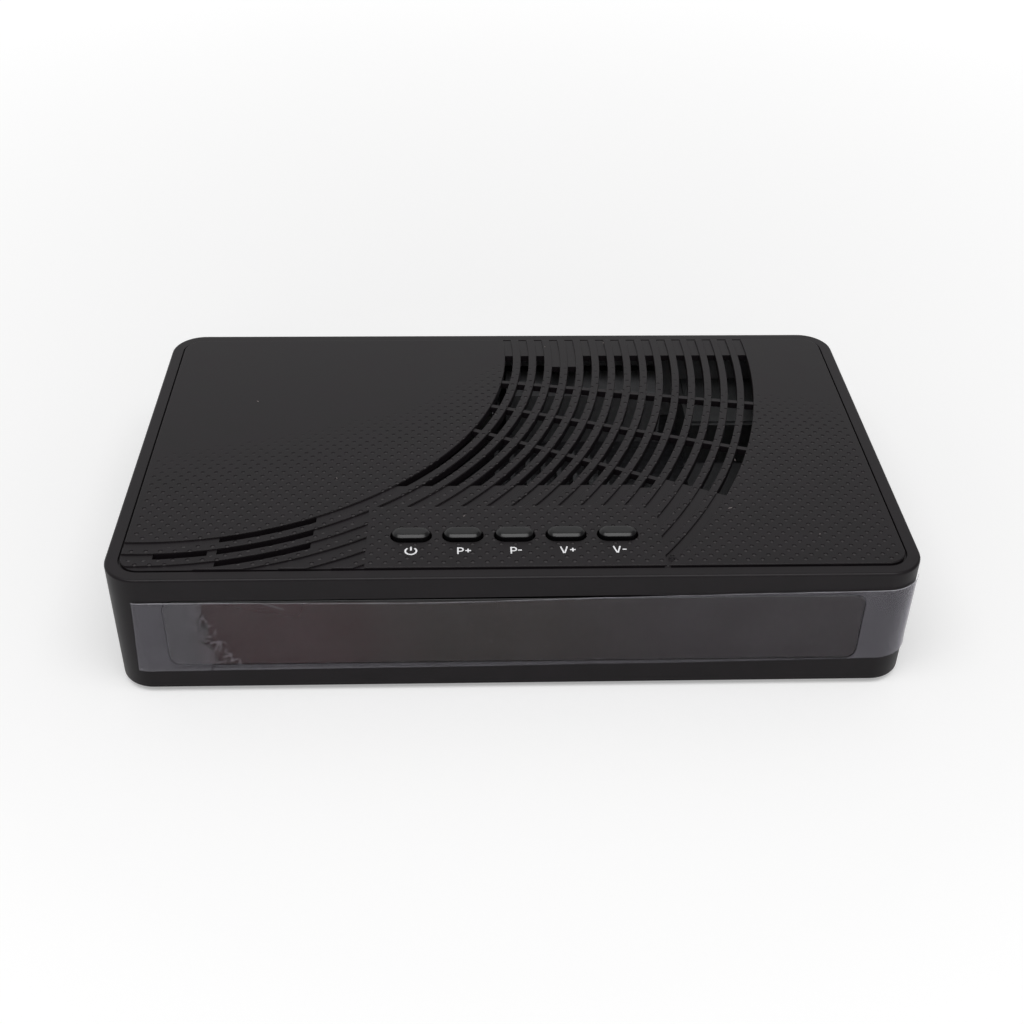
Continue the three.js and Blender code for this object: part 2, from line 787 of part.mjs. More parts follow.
// A rectangle whose two lower corners are cut off.
function keyedRectangle(x, z, width, height, corner) {
  const [left, right] = [x - width / 2, x + width / 2];
  const [low, high] = [z - height / 2, z + height / 2];
  return outline([
    [left + corner, low], [left, low + corner], [left, high], [right, high],
    [right, low + corner], [right - corner, low],
  ]);
}

function makePowerSocket() {
  const x = socketPlaces.power_socket;
  const z = onBoard(powerSocketHeight);
  const bore = rodAlongY(x, z, powerBoreWidth, rearPanelBack - powerBoreDepth, rearPanelBack + cutOverrun);
  const pinStart = rearPanelBack - powerBoreDepth - cutOverrun;
  const pin = rodAlongY(x, z, powerPinWidth, pinStart, rearPanelBack - cutOverrun, smallRound);
  return housing('power_socket', powerSocketDepth).subtract(bore).add(pin);
}

function makeAudioSocket() {
  const shape = keyedRectangle(
    socketPlaces.audio_socket, onBoard(audioSocketHeight), audioMouthWidth, audioMouthWidth, audioMouthCorner,
  );
  return housing('audio_socket', audioSocketDepth).subtract(mouth(shape, audioMouthDepth));
}

function makeMediaSocket() {
  const x = socketPlaces.media_socket;
  const z = onBoard(mediaSocketHeight);
  const tongueTop = z + mediaMouthHeight / 2 - mediaTongueThickness / 2;
  const tongue = block(
    [x - mediaTongueWidth / 2, rearPanelBack - mediaSocketDepth, tongueTop - mediaTongueThickness],
    [x + mediaTongueWidth / 2, rearPanelBack - cutOverrun, tongueTop],
  );
  const cut = mouth(rectangleAt(x, z, mediaMouthWidth, mediaMouthHeight), mediaMouthDepth);
  return housing('media_socket', mediaSocketDepth).subtract(cut).add(tongue);
}

function makeNetworkSocket() {
  const x = socketPlaces.network_socket;
  const mouthBottom = boardTop + networkMouthRise + networkLatchHeight;
  const middle = mouthBottom + networkMouthHeight / 2;
  const latch = rectangleAt(x, mouthBottom, networkLatchWidth, 2 * networkLatchHeight);
  return housing('network_socket', networkSocketDepth)
    .subtract(mouth(rectangleAt(x, middle, networkMouthWidth, networkMouthHeight), networkMouthDepth))
    .subtract(mouth(latch, networkMouthDepth));
}

function makeVideoSocket() {
  const x = socketPlaces.video_socket;
  const z = onBoard(videoSocketHeight);
  const shape = keyedRectangle(x, z, videoMouthWidth, videoMouthHeight, videoMouthCorner);
  const tongue = block(
    [x - videoTongueWidth / 2, rearPanelBack - videoSocketDepth, z],
    [x + videoTongueWidth / 2, rearPanelBack - cutOverrun, z + videoTongueThickness],
  );
  return housing('video_socket', videoSocketDepth).subtract(mouth(shape, videoMouthDepth)).add(tongue);
}

function makeTelevisionSocket() {
  const x = socketPlaces.television_socket;
  const z = onBoard(tvSocketHeight);
  const outer = mouth(keyedRectangle(x, z, tvMouthWidth, tvMouthHeight, tvMouthCorner), tvMouthDepth);
  const inner = prismAlongY(
    keyedRectangle(x, z, tvMouthWidth - 2 * tvShieldGap, tvMouthHeight - 2 * tvShieldGap, tvMouthCorner),
    rearPanelBack - tvSocketDepth,
    rearPanelBack - cutOverrun,
  );
  return housing('television_socket', tvSocketDepth).subtract(outer).add(inner);
}

function makeDishSocket(x) {
  const start = rearPanelFront - clearance;
  const end = rearPanelBack + dishThreadLength;
  const bore = rodAlongY(x, dishSocketZ, dishBoreWidth, end - dishBoreDepth, end + cutOverrun, smallRound);
  const contactEnd = end - dishBoreDepth / 2;
  const contactStart = end - dishBoreDepth - dishContactDepth;
  const contact = rodAlongY(x, dishSocketZ, dishContactWidth, contactStart, contactEnd, smallRound);
  return rodAlongY(x, dishSocketZ, dishThreadWidth, start, end).subtract(bore).subtract(contact);
}

function makeDishNut(x) {
  const end = rearPanelBack + dishNutThickness;
  const hole = rodAlongY(
    x, dishSocketZ, dishThreadWidth + 2 * clearance, rearPanelBack - cutOverrun, end + cutOverrun,
  );
  return rodAlongY(x, dishSocketZ, dishNutWidth, rearPanelBack, end, nutSides).subtract(hole);
}

function makeTuner() {
  const y = rearPanelFront - clearance - tunerDepth / 2;
  const can = standing(tunerX, y, boardTop, tunerWidth, tunerDepth, tunerHeight - tunerLidRise);
  const lidBottom = boardTop + tunerHeight - 2 * tunerLidRise;
  const lidWidth = tunerWidth - 2 * tunerLidMargin;
  return can.add(standing(tunerX, y, lidBottom, lidWidth, tunerDepth - 2 * tunerLidMargin, 2 * tunerLidRise));
}

// A point of the board, as shares of its half width and half depth from its middle.
const boardPoint = ([shareX, shareY]) => [shareX * boardWidth / 2, boardCentreY + shareY * boardDepth / 2];

function makeMainBoard() {
  let board = block([-boardWidth / 2, boardFront, boardBottom], [boardWidth / 2, boardBack, boardTop]);
  for (const [x, y] of boardScrewPlaces) {
    board = board.subtract(rod(
      x, y, boardBottom - cutOverrun, boardScrewShankWidth + 2 * clearance, boardThickness + 2 * cutOverrun,
    ));
  }
  return board;
}

function makeProcessor([x, y]) {
  const carrier = standing(x, y, boardTop, processorWidth, processorWidth, processorThickness);
  const lidHeight = processorThickness + processorLidThickness;
  return carrier.add(standing(x, y, boardTop, processorLidWidth, processorLidWidth, lidHeight));
}

// A comb profile, drawn across the fins and run along them.
function makeHeatSink([x, y]) {
  const bottom = boardTop + processorThickness + processorLidThickness;
  let sink = standing(x, y, bottom, heatSinkWidth, heatSinkWidth, heatSinkHeight);
  const pitch = (heatSinkWidth - heatSinkFinThickness) / (heatSinkFinCount - 1);
  for (let i = 0; i < heatSinkFinCount - 1; i += 1) {
    const gapStart = x - heatSinkWidth / 2 + heatSinkFinThickness + i * pitch;
    sink = sink.subtract(block(
      [gapStart, y - heatSinkWidth, bottom + heatSinkBase],
      [gapStart + pitch - heatSinkFinThickness, y + heatSinkWidth, bottom + heatSinkHeight + cutOverrun],
    ));
  }
  return sink;
}

function makeCapacitor([x, y]) {
  const collarBottom = boardTop + capacitorHeight - 2 * capacitorCollar;
  const topWidth = capacitorWidth - 2 * capacitorCollar;
  const top = rod(x, y, collarBottom - capacitorCollar, topWidth, 3 * capacitorCollar);
  return rod(x, y, boardTop, capacitorWidth, capacitorHeight - 2 * capacitorCollar).add(top);
}

function makeInductor([x, y]) {
  const topFlange = boardTop + inductorHeight - inductorFlange;
  return join(
    standing(x, y, boardTop, inductorWidth, inductorWidth, inductorFlange),
    rod(x, y, boardTop, inductorCoreWidth, inductorHeight, mediumRound),
    standing(x, y, topFlange, inductorWidth, inductorWidth, inductorFlange),
  );
}

function makeCardReader() {
  const right = innerHalfWidth - clearance;
  const body = block(
    [right - readerDepth, readerY - readerWidth / 2, boardTop],
    [right, readerY + readerWidth / 2, boardTop + readerHeight],
  );
  return body.subtract(block(
    [right - readerSlotDepth, readerY - cardSlotLength / 2, readerSlotZ - readerSlotHeight / 2],
    [right + cutOverrun, readerY + cardSlotLength / 2, readerSlotZ + readerSlotHeight / 2],
  ));
}

// The module's face is a shallow tray, as a moulded display has.
function makeDisplayModule() {
  const left = displayBoardLeft + displayBoardWidth - displayModuleFromEnd - displayModuleWidth;
  const bottom = windowMiddle - displayModuleHeight / 2;
  const body = block(
    [left, displayModuleFront, bottom],
    [left + displayModuleWidth, displayBoardFront, bottom + displayModuleHeight],
  );
  return body.subtract(block(
    [left + displayFaceInset, displayModuleFront - cutOverrun, bottom + displayFaceInset],
    [
      left + displayModuleWidth - displayFaceInset,
      displayModuleFront + displayFaceSunk,
      bottom + displayModuleHeight - displayFaceInset,
    ],
  ));
}

function makeInfraredReceiver() {
  const x = displayBoardLeft + infraredWidth;
  const front = displayBoardFront - infraredDepth;
  const body = block(
    [x - infraredWidth / 2, front, windowMiddle - infraredHeight / 2],
    [x + infraredWidth / 2, displayBoardFront, windowMiddle + infraredHeight / 2],
  );
  const dome = new THREE.SphereGeometry(infraredDomeWidth / 2, smallRound, smallRound / 2);
  dome.translate(x, front, windowMiddle);
  return body.add(solid(dome));
}

function makeLens() {
  const plate = roundedRectangle(
    0, windowMiddle, windowWidth - 2 * clearance, windowHeight - 2 * clearance, windowRadius - clearance,
  );
  const flange = roundedRectangle(
    0, windowMiddle, windowWidth + 2 * lensFlangeReach, windowHeight + 2 * lensFlangeReach, windowRadius,
  );
  return prismAlongY(plate, -halfDepth, lensBack).add(prismAlongY(flange, -innerHalfDepth, lensBack));
}

// The film lies along the front and bends round both corners; it was stuck on with a slight slant.
function makeFilm() {
  const inner = bodyCornerRadius + clearance;
  const outer = inner + filmThickness;
  const centreX = halfWidth - bodyCornerRadius;
  const centreY = -halfDepth + bodyCornerRadius;
  const down = -Math.PI / 2;
  const left = down - THREE.MathUtils.degToRad(filmLeftWrapAngle);
  const right = down + THREE.MathUtils.degToRad(filmRightWrapAngle);
  const shape = new THREE.Shape();
  shape.absarc(-centreX, centreY, outer, left, down, false);
  shape.absarc(centreX, centreY, outer, down, right, false);
  shape.absarc(centreX, centreY, inner, right, down, true);
  shape.absarc(-centreX, centreY, inner, down, left, true);
  shape.closePath();
  const geometry = new THREE.ExtrudeGeometry(shape, {
    depth: filmHeight,
    bevelEnabled: false,
    curveSegments: cornerSegments,
  });
  const slant = new THREE.Matrix4();
  slant.elements[2] = filmRise / bodyWidth;
  geometry.applyMatrix4(slant);
  geometry.translate(0, 0, rimTop - filmFromTop - filmHeight);
  return solid(geometry);
}

function makeKeyBoard() {
  let board = standing(0, buttonY, keyBoardBottom, 2 * keyBoardHalfWidth, keyBoardDepth, keyBoardThickness);
  for (const [x, y] of keyPostPlaces) {
    const height = keyBoardThickness + 2 * cutOverrun;
    board = board.subtract(rod(x, y, keyBoardBottom - cutOverrun, keyPinWidth + 2 * clearance, height));
  }
  return board;
}

function makeSwitch(x) {
  const body = standing(x, buttonY, keyBoardTop, switchWidth, switchWidth, switchHeight);
  const holeDepth = plungerSunk + buttonTravel + clearance;
  return body.subtract(rod(
    x, buttonY, switchTop - holeDepth, plungerWidth + 2 * clearance, holeDepth + cutOverrun,
  ));
}

function makeButton(x) {
  const cap = crownedPrism(
    stadium(x, buttonY, buttonWidth, buttonDepth),
    flangeBottom,
    panelTop + buttonProud,
    buttonEdgeRadius,
  );
  const reach = 2 * buttonFlangeReach;
  const flange = prism(
    stadium(x, buttonY, buttonOpeningWidth + reach, buttonOpeningDepth + reach), flangeBottom, flangeTop,
  );
  const stem = rod(x, buttonY, stemBottom, buttonStemWidth, buttonStemLength + buttonFlangeThickness / 2);
  return join(cap, flange, stem);
}

const displayCableX = displayBoardLeft + displayBoardWidth / 2;
const displayCableZ = boardTop + displayCableRise;
const displayCable = new THREE.CurvePath();
const displayPlugBack = displayBoardBack + cablePlugHeight;
const displayBendY = displayPlugBack + displayCableLead;
displayCable.add(new THREE.LineCurve(
  new THREE.Vector2(displayPlugBack - cableThickness, displayCableZ),
  new THREE.Vector2(displayBendY, displayCableZ),
));
displayCable.add(new THREE.EllipseCurve(
  displayBendY, displayCableZ - displayCableBend, displayCableBend, displayCableBend, Math.PI / 2, 0, true,
));
displayCable.add(new THREE.LineCurve(
  new THREE.Vector2(displayBendY + displayCableBend, displayCableZ - displayCableBend),
  new THREE.Vector2(displayBendY + displayCableBend, boardTop + cablePlugHeight - cableThickness),
));
const displayPlugs = [
  block(
    [displayCableX - cablePlugWidth / 2, displayBoardBack, displayCableZ - cablePlugDepth / 2],
    [displayCableX + cablePlugWidth / 2, displayPlugBack, displayCableZ + cablePlugDepth / 2],
  ),
  standing(
    displayCableX, displayBendY + displayCableBend, boardTop, cablePlugWidth, cablePlugDepth, cablePlugHeight,
  ),
];

const keyCableY = boardFront + cablePlugDepth;
const keyCableTop = keyBoardBottom - cablePlugHeight + cableThickness;
const keyCableBottom = boardTop + cablePlugHeight - cableThickness;
const keyCableMiddle = (keyCableTop + keyCableBottom) / 2;
const keyCable = new THREE.CubicBezierCurve(
  new THREE.Vector2(keyCableY, keyCableTop),
  new THREE.Vector2(keyCableY, keyCableMiddle),
  new THREE.Vector2(keyCableY + keyCableSway, keyCableMiddle),
  new THREE.Vector2(keyCableY + keyCableSway, keyCableBottom),
);
const keyPlugs = [
  [keyCableY, keyBoardBottom - cablePlugHeight],
  [keyCableY + keyCableSway, boardTop],
].map(([y, z]) => standing(keyCablePlace, y, z, cablePlugWidth, cablePlugDepth, cablePlugHeight));

piece('top_cover', makeTopCover(), 'casePlastic');
piece('base_case', makeBase(), 'basePlastic');
piece('rear_panel', makeRearPanel(), 'rearPlastic');
piece('front_lens', makeLens(), 'smokedWindow');
piece('protective_film', makeFilm(), 'clearFilm');

footPlaces.forEach(([x, y], i) => {
  const foot = rod(x, y, 0, footWidth, footStand + footRecess, mediumRound);
  piece(`foot_${i + 1}`, foot, 'footRubber');
});
screwPlaces.forEach(([x, y], i) => {
  const headBottom = underside + clearance;
  const screw = screwUp(
    x, y, headBottom, screwHeadWidth, screwHeadHeight, screwShankWidth, screwReach - screwHeadHeight,
  );
  piece(`case_screw_${i + 1}`, screw, 'screwSteel');
});

piece('main_board', makeMainBoard(), 'boardGreen');
boardScrewPlaces.forEach(([x, y], i) => {
  const screw = screwDown(
    x, y, boardTop, boardScrewHeadWidth, boardScrewHeadHeight, boardScrewShankWidth, boardScrewReach,
  );
  piece(`board_screw_${i + 1}`, screw, 'screwSteel');
});
piece('tuner_can', makeTuner(), 'platedSteel');
for (const [name, x] of Object.entries(dishPlaces)) {
  piece(`${name}_socket`, makeDishSocket(x), 'nickel');
  piece(`${name}_nut`, makeDishNut(x), 'nickel');
}
piece('power_socket', makePowerSocket(), 'socketPlastic');
piece('audio_socket', makeAudioSocket(), 'socketPlastic');
piece('media_socket', makeMediaSocket(), 'platedSteel');
piece('network_socket', makeNetworkSocket(), 'platedSteel');
piece('video_socket', makeVideoSocket(), 'platedSteel');
piece('television_socket', makeTelevisionSocket(), 'socketPlastic');

piece('processor', makeProcessor(boardPoint(processorPlaceShares)), 'chipPlastic');
piece('heat_sink', makeHeatSink(boardPoint(processorPlaceShares)), 'aluminium');
memoryPlaceShares.forEach((shares, i) => {
  const [x, y] = boardPoint(shares);
  const chip = standing(x, y, boardTop, memoryWidth, memoryLength, memoryThickness);
  piece(`memory_chip_${i + 1}`, chip, 'chipPlastic');
});
const [flashX, flashY] = boardPoint(flashPlaceShares);
const flashChip = standing(flashX, flashY, boardTop, flashLength, flashWidth, flashThickness);
piece('flash_chip', flashChip, 'chipPlastic');
capacitorPlaceShares.forEach((shares, i) => {
  piece(`capacitor_${i + 1}`, makeCapacitor(boardPoint(shares)), 'capacitorSleeve');
});
piece('inductor', makeInductor(boardPoint(inductorPlaceShares)), 'ferrite');
piece('card_reader', makeCardReader(), 'socketPlastic');

const displayBoard = block(
  [displayBoardLeft, displayBoardFront, displayBoardBottom],
  [displayBoardLeft + displayBoardWidth, displayBoardBack, displayBoardBottom + displayBoardHeight],
);
piece('display_board', displayBoard, 'boardGreen');
piece('display_module', makeDisplayModule(), 'displayPlastic');
piece('infrared_receiver', makeInfraredReceiver(), 'displayPlastic');
piece('display_cable', flatCable(displayCableX, displayCable, displayPlugs), 'cableWhite');

piece('key_board', makeKeyBoard(), 'boardGreen');
piece('key_cable', flatCable(keyCablePlace, keyCable, keyPlugs), 'cableWhite');
keyPlaces.forEach((x, i) => {
  const name = keyNames[i];
  piece(`${name}_switch`, makeSwitch(x), 'platedSteel');
  const plungerBottom = switchTop - plungerSunk;
  const plunger = rod(x, buttonY, plungerBottom, plungerWidth, stemBottom - plungerBottom);
  piece(`${name}_plunger`, plunger, 'socketPlastic');
  piece(`${name}_button`, makeButton(x), 'buttonPlastic');
});

export default receiver;
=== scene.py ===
# %% [markdown]
# # A compact satellite receiver
# The real thing is a black moulded box, 200 mm wide, with curved air slots and small dimples in its
# top, five push buttons, and a smoked window under a clear protective film at the front. The solids
# of every part are loaded first, and they stay where they are. This script gives them their
# finishes, and puts finer surfaces over those whose edges and patterns the eye looks at.

# %% The frame
import math

import bmesh
import bpy
import numpy as np
from mathutils import Matrix, Vector
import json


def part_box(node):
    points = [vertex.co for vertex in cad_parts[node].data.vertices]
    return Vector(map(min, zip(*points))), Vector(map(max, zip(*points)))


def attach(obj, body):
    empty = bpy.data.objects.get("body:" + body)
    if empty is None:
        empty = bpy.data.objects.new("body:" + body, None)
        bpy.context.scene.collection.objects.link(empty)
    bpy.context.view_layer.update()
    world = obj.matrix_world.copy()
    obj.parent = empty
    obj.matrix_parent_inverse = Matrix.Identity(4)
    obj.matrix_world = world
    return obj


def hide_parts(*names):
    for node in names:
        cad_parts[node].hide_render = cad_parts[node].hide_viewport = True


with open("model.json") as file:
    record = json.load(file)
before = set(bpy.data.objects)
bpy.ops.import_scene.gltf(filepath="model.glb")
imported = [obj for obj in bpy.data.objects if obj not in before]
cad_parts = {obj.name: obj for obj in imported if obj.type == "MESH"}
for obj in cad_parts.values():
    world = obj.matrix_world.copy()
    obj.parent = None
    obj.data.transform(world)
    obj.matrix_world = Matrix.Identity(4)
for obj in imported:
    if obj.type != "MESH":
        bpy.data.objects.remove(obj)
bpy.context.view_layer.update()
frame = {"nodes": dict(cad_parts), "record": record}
nodes = frame["nodes"]

# %% [markdown]
# ## Sizes and places
# All shapes below are written in millimetres from the middle of the case in plan, with heights from
# the shelf. One function moves them into the object's own frame, in metres.

# %% Sizes of the case
MM = 0.001
CASE_SHIFT = -4.175

case_width, case_depth, case_radius = 200.0, 119.1, 9.0
underside, rim_top, panel_top, ceiling = 1.5, 36.0, 36.5, 34.3
wall = 2.2
rim_width, groove_width, groove_depth = 3.3, 0.54, 0.7
front = -case_depth / 2


def place(points):
    """Case millimetres to metres in the object's frame: add the shift along Y, then scale."""
    return (np.asarray(points, float) + (0, CASE_SHIFT, 0)) * MM


collection = bpy.context.scene.collection
print("front face of the case in mm:", front + CASE_SHIFT)

# %% [markdown]
# ## Camera
# The photograph looks down on the front at 36 degrees from about 0.39 m away. The camera's place and
# turn were solved from the outline of the real case, so they are given as a point and three axes.

# %% Camera
lens = bpy.data.cameras.new("camera")
lens.lens = 48.84
lens.sensor_width = 36
lens.clip_start = 0.01
camera = bpy.data.objects.new("camera", lens)
collection.objects.link(camera)
sight = Vector((0.0349, 0.8061, -0.5908))
across = Vector((0.9994, -0.0328, 0.0143))
upward = Vector((0.0078, 0.5909, 0.8067))
turn = Matrix((across, upward, -sight)).transposed().to_4x4()
eye = Vector(place([-12.8, -318.8, 209.5 + rim_top]))
camera.matrix_world = Matrix.Translation(eye) @ turn
bpy.context.scene.camera = camera
print("camera at", [round(value, 4) for value in eye])

# %% [markdown]
# ## Node helpers
# A material is a small graph. One helper adds a node, sets its own settings, and either links or
# sets its inputs. Colours are written as in a paint program, in sRGB, and turned to linear light.

# %% Node helpers


def linear(text):
    """An sRGB hex colour as linear RGBA: each channel over 255, then the sRGB curve undone."""
    value = np.array([int(text[i:i + 2], 16) for i in (1, 3, 5)]) / 255
    bent = np.where(value <= 0.04045, value / 12.92, ((value + 0.055) / 1.055) ** 2.4)
    return (*bent.tolist(), 1.0)


def feed(node, inputs):
    """Fill a node's inputs, given in their order as a list, or by name or number. Each is a number,
    a vector, a colour in hex, the socket that feeds it, or a node whose first output feeds it."""
    for key, value in inputs.items() if isinstance(inputs, dict) else enumerate(inputs):
        if isinstance(value, bpy.types.Node):
            value = value.outputs[0]
        if isinstance(value, bpy.types.NodeSocket):
            node.id_data.links.new(value, node.inputs[key])
        else:
            node.inputs[key].default_value = linear(value) if isinstance(value, str) else value


def add(tree, kind, inputs=(), **settings):
    """Add one node of a kind, with its own settings, then fill its inputs."""
    node = tree.nodes.new("ShaderNode" + kind)
    for key, value in settings.items():
        setattr(node, key, value)
    feed(node, inputs)
    return node


def chain(tree, operation, first, *others):
    """One value from several: the operation is done on the first two, then with each one more."""
    for other in others:
        first = add(tree, "Math", [first, other], operation=operation)
    return first


def finish(name, values):
    """A new material with one Principled shader, whose plain inputs are set from values. Gives the
    material, its graph, the shader, and the object coordinates that its patterns read."""
    material = bpy.data.materials.new(name)
    material.use_nodes = True
    tree = material.node_tree
    shader = tree.nodes["Principled BSDF"]
    feed(shader, values)
    return material, tree, shader, add(tree, "TexCoord").outputs["Object"]


def two_tone(tree, where, size, detail, first, second, low=0.3, high=0.7):
    """A noise of a size in millimetres, and two colours mixed by it between its low and high values."""
    noise = add(tree, "TexNoise", {"Vector": where, "Scale": 1 / (size * MM), "Detail": detail})
    patch = add(tree, "MapRange", [noise, low, high])
    return noise, add(tree, "MixRGB", [patch, first, second])


# %% [markdown]
# ## Stage and light
# A pale floor fills the background. The room is white, but what a satin top mirrors decides how it
# looks. The wall behind the case is its bright side, the ceiling is dim, and the side by the camera
# glows a little. A wide lamp above the front draws the bright lines along the front edges, and a
# weak one fills the front. The camera sees the room at full white, so the lamps needn't be strong.

# %% World
bpy.context.scene.view_settings.view_transform = "Standard"
world = bpy.data.worlds.new("light_tent")
bpy.context.scene.world = world
world.use_nodes = True
tree = world.node_tree
path = add(tree, "LightPath")
sky = add(tree, "TexCoord").outputs["Generated"]
room_level, ceiling_level, rear_level, near_level = 0.4, 0.22, 0.71, 0.5
# where each bright area lies, how near to that direction it starts and is full, and its two levels
areas = [((-0.36, 0.9, 0.25), 0.2, 0.8, ceiling_level, rear_level),
         ((0, -0.35, 0.94), 0.72, 0.95, 0.0, 1.0),
         ((0.36, -0.93, 0.1), 0.6, 0.95, 0.0, near_level)]
glows = []
for direction, *levels in areas:
    nearness = add(tree, "VectorMath", [sky, direction], operation="DOT_PRODUCT").outputs["Value"]
    glows.append(add(tree, "MapRange", [nearness, *levels], interpolation_type="SMOOTHSTEP"))
mirrored = chain(tree, "MAXIMUM", *glows)
strength = add(tree, "Mix", {0: path.outputs["Is Glossy Ray"], 2: room_level, 3: mirrored})
seen = chain(tree, "MAXIMUM", path.outputs["Is Camera Ray"], path.outputs["Is Transmission Ray"])
strength = add(tree, "Mix", {0: seen, 2: strength, 3: 1.0})
feed(tree.nodes["Background"], {"Color": "#ffffff", "Strength": strength})
print("the room lights surfaces at", room_level)

# %% Floor
floor_mesh = bpy.data.meshes.new("floor")
reach = 2.5
floor_mesh.from_pydata([(-reach, -reach, 0), (reach, -reach, 0), (reach, reach, 0), (-reach, reach, 0)],
                       [], [(0, 1, 2, 3)])
floor = bpy.data.objects.new("floor", floor_mesh)
collection.objects.link(floor)
material, tree, shader, where = finish("painted_floor", {"Base Color": "#e4e4e4", "Roughness": 0.9,
                                                         "Specular IOR Level": 0.1})
path = add(tree, "LightPath")
from_case = add(tree, "VectorMath", [where], operation="LENGTH").outputs["Value"]
far = add(tree, "MapRange", [from_case, 0.15, 0.9, 0.3, 0.75])
seen = add(tree, "Math", [far, path.outputs["Is Camera Ray"]], operation="MULTIPLY")
floor_y = add(tree, "SeparateXYZ", [where]).outputs["Y"]
# for glossy rays the floor glows less near the front of the case: a painted shadow that the case's front
# mirrors
glossy_lift_with_painted_shadow = add(tree, "MapRange", [floor_y, -0.105, -0.07, 0.15, 0.02])
lift = add(tree, "Math", [path.outputs["Is Glossy Ray"], glossy_lift_with_painted_shadow, seen], operation="MULTIPLY_ADD")
feed(shader, {"Emission Color": "#ffffff", "Emission Strength": lift})
floor_mesh.materials.append(material)
print("floor", 2 * reach, "m wide")

# %% Lamps


def lamp(name, location, tilt, width, depth, power):
    """A rectangular lamp that faces down, then turned by tilt degrees about X, towards the rear."""
    light = bpy.data.lights.new(name, "AREA")
    light.shape = "RECTANGLE"
    light.size, light.size_y, light.energy = width, depth, power
    holder = bpy.data.objects.new(name, light)
    holder.location = location
    holder.rotation_euler = (math.radians(tilt), 0, 0)
    collection.objects.link(holder)


lamp("wide_overhead", (-0.02, -0.3, 0.85), 20, 1.1, 0.45, 4.4)
lamp("fill_front", (0.25, -1.1, 1.0), 48, 0.9, 0.9, 1.35)
print("lamps:", [light.name for light in bpy.data.lights])

# %% [markdown]
# ## Plastics
# The cover is ABS, moulded in a spark-eroded tool, so it has a fine even grain that breaks up
# reflections. Seen from here that grain is a satin sheen with a slight mottle. Black ABS is not
# pure black: the sheen lifts it to a dark warm grey.

# %% Moulded plastics
grain_size, mottle_size = 0.45, 9
bowl_highlight_colour, bowl_highlight_most = "#4c494a", 0.55


def moulded_plastic(name, colour, mottled, roughness, grain, gloss=0.2, bowl_highlight_at=None):
    """Satin plastic: a noise 0.45 mm wide bumps it, a wide one shifts its colour and sheen a little.
    Between the two heights of the last argument, in metres, a paler colour is painted as a highlight."""
    material, tree, shader, where = finish(name, {"Specular IOR Level": gloss})
    mottle, shade = two_tone(tree, where, mottle_size, 3.0, colour, mottled)
    fine = add(tree, "TexNoise", {"Vector": where, "Scale": 1 / (grain_size * MM), "Detail": 2.0})
    if bowl_highlight_at:
        # a paler colour in the dimples' floors: a painted highlight for the bright spot in each bowl
        height = add(tree, "SeparateXYZ", [where]).outputs["Z"]
        low = add(tree, "Math", [height, bowl_highlight_at[0]], operation="GREATER_THAN")
        deep = add(tree, "MapRange", [height, sum(bowl_highlight_at) / 2, bowl_highlight_at[1], bowl_highlight_most, 0.0])
        dust_and_bowl_highlight = add(tree, "Math", [deep, low], operation="MULTIPLY")
        shade = add(tree, "MixRGB", [dust_and_bowl_highlight, shade, bowl_highlight_colour])
    sheen = add(tree, "MapRange", [mottle, 0.3, 0.7, roughness - 0.03, roughness + 0.04])
    bump = add(tree, "Bump", {"Height": fine, "Strength": grain, "Distance": 0.02 * MM})
    feed(shader, {"Base Color": shade, "Roughness": sheen, "Normal": bump})
    return material


# the heights of the dimples' floors, which get a painted highlight
dimple_floor = ((panel_top - 0.3) * MM, (panel_top - 0.14) * MM)
case_abs = moulded_plastic("moulded_abs", "#181517", "#1d191c", 0.36, 0.35, 0.2, dimple_floor)
base_abs = moulded_plastic("moulded_abs_base", "#181517", "#1d191c", 0.5, 0.5)
button_abs = moulded_plastic("moulded_abs_button", "#0b0a0c", "#100f11", 0.3, 0.15, 0.42)
socket_pbt = moulded_plastic("moulded_pbt_socket", "#0c0c0d", "#101011", 0.5, 0.3)
print("plastics:", [plastic.name for plastic in (case_abs, base_abs, button_abs, socket_pbt)])

# %% [markdown]
# ## Shape helpers
# Nearly everything on the case is a closed outline carried from one level to the next: the case
# itself, the panel, the buttons and the window. So one function draws a round-cornered outline,
# and one lays a skin over a stack of such outlines. Turned pieces are stacks of rings.

# %% Outlines and loops


def arc(x, y, radius, start, end, steps):
    """Points on a circle, at even angles from start to end in degrees."""
    angle = np.radians(np.linspace(start, end, steps + 1))
    return np.stack([x + radius * np.cos(angle), y + radius * np.sin(angle)], 1)


def rounded(width, depth, radius, steps=16):
    """A rectangle with quarter circles for corners, anticlockwise from the right."""
    half_width, half_depth = width / 2 - radius, depth / 2 - radius
    corners = [(half_width, half_depth), (-half_width, half_depth),
               (-half_width, -half_depth), (half_width, -half_depth)]
    return np.concatenate([arc(x, y, radius, 90 * i, 90 * i + 90, steps) for i, (x, y) in enumerate(corners)])


def level(outline, z):
    """A flat outline as a loop at height z."""
    return np.column_stack([outline, np.full(len(outline), z)])


def upright(outline, y):
    """A flat outline as a loop at depth y: its second coordinate is the height."""
    return np.column_stack([outline[:, 0], np.full(len(outline), y), outline[:, 1]])


def turned(radius, along, x, z, sides=48):
    """Rings round an axis along Y at (x, z): radius may hold one value a ring, or one a point."""
    angle = np.arange(sides) * 2 * np.pi / sides
    radius = np.broadcast_to(np.asarray(radius, float).reshape(len(along), -1), (len(along), sides))
    depth = np.broadcast_to(np.asarray(along, float)[:, None], radius.shape)
    return np.stack([x + radius * np.cos(angle), depth, z + radius * np.sin(angle)], -1)


def spun(profile, x, y, sides=48):
    """Rings round a vertical axis at (x, y), from a profile of radius and height."""
    return turned(*np.array(profile).T, x, y, sides)[..., [0, 2, 1]]


# %% Skins and meshes


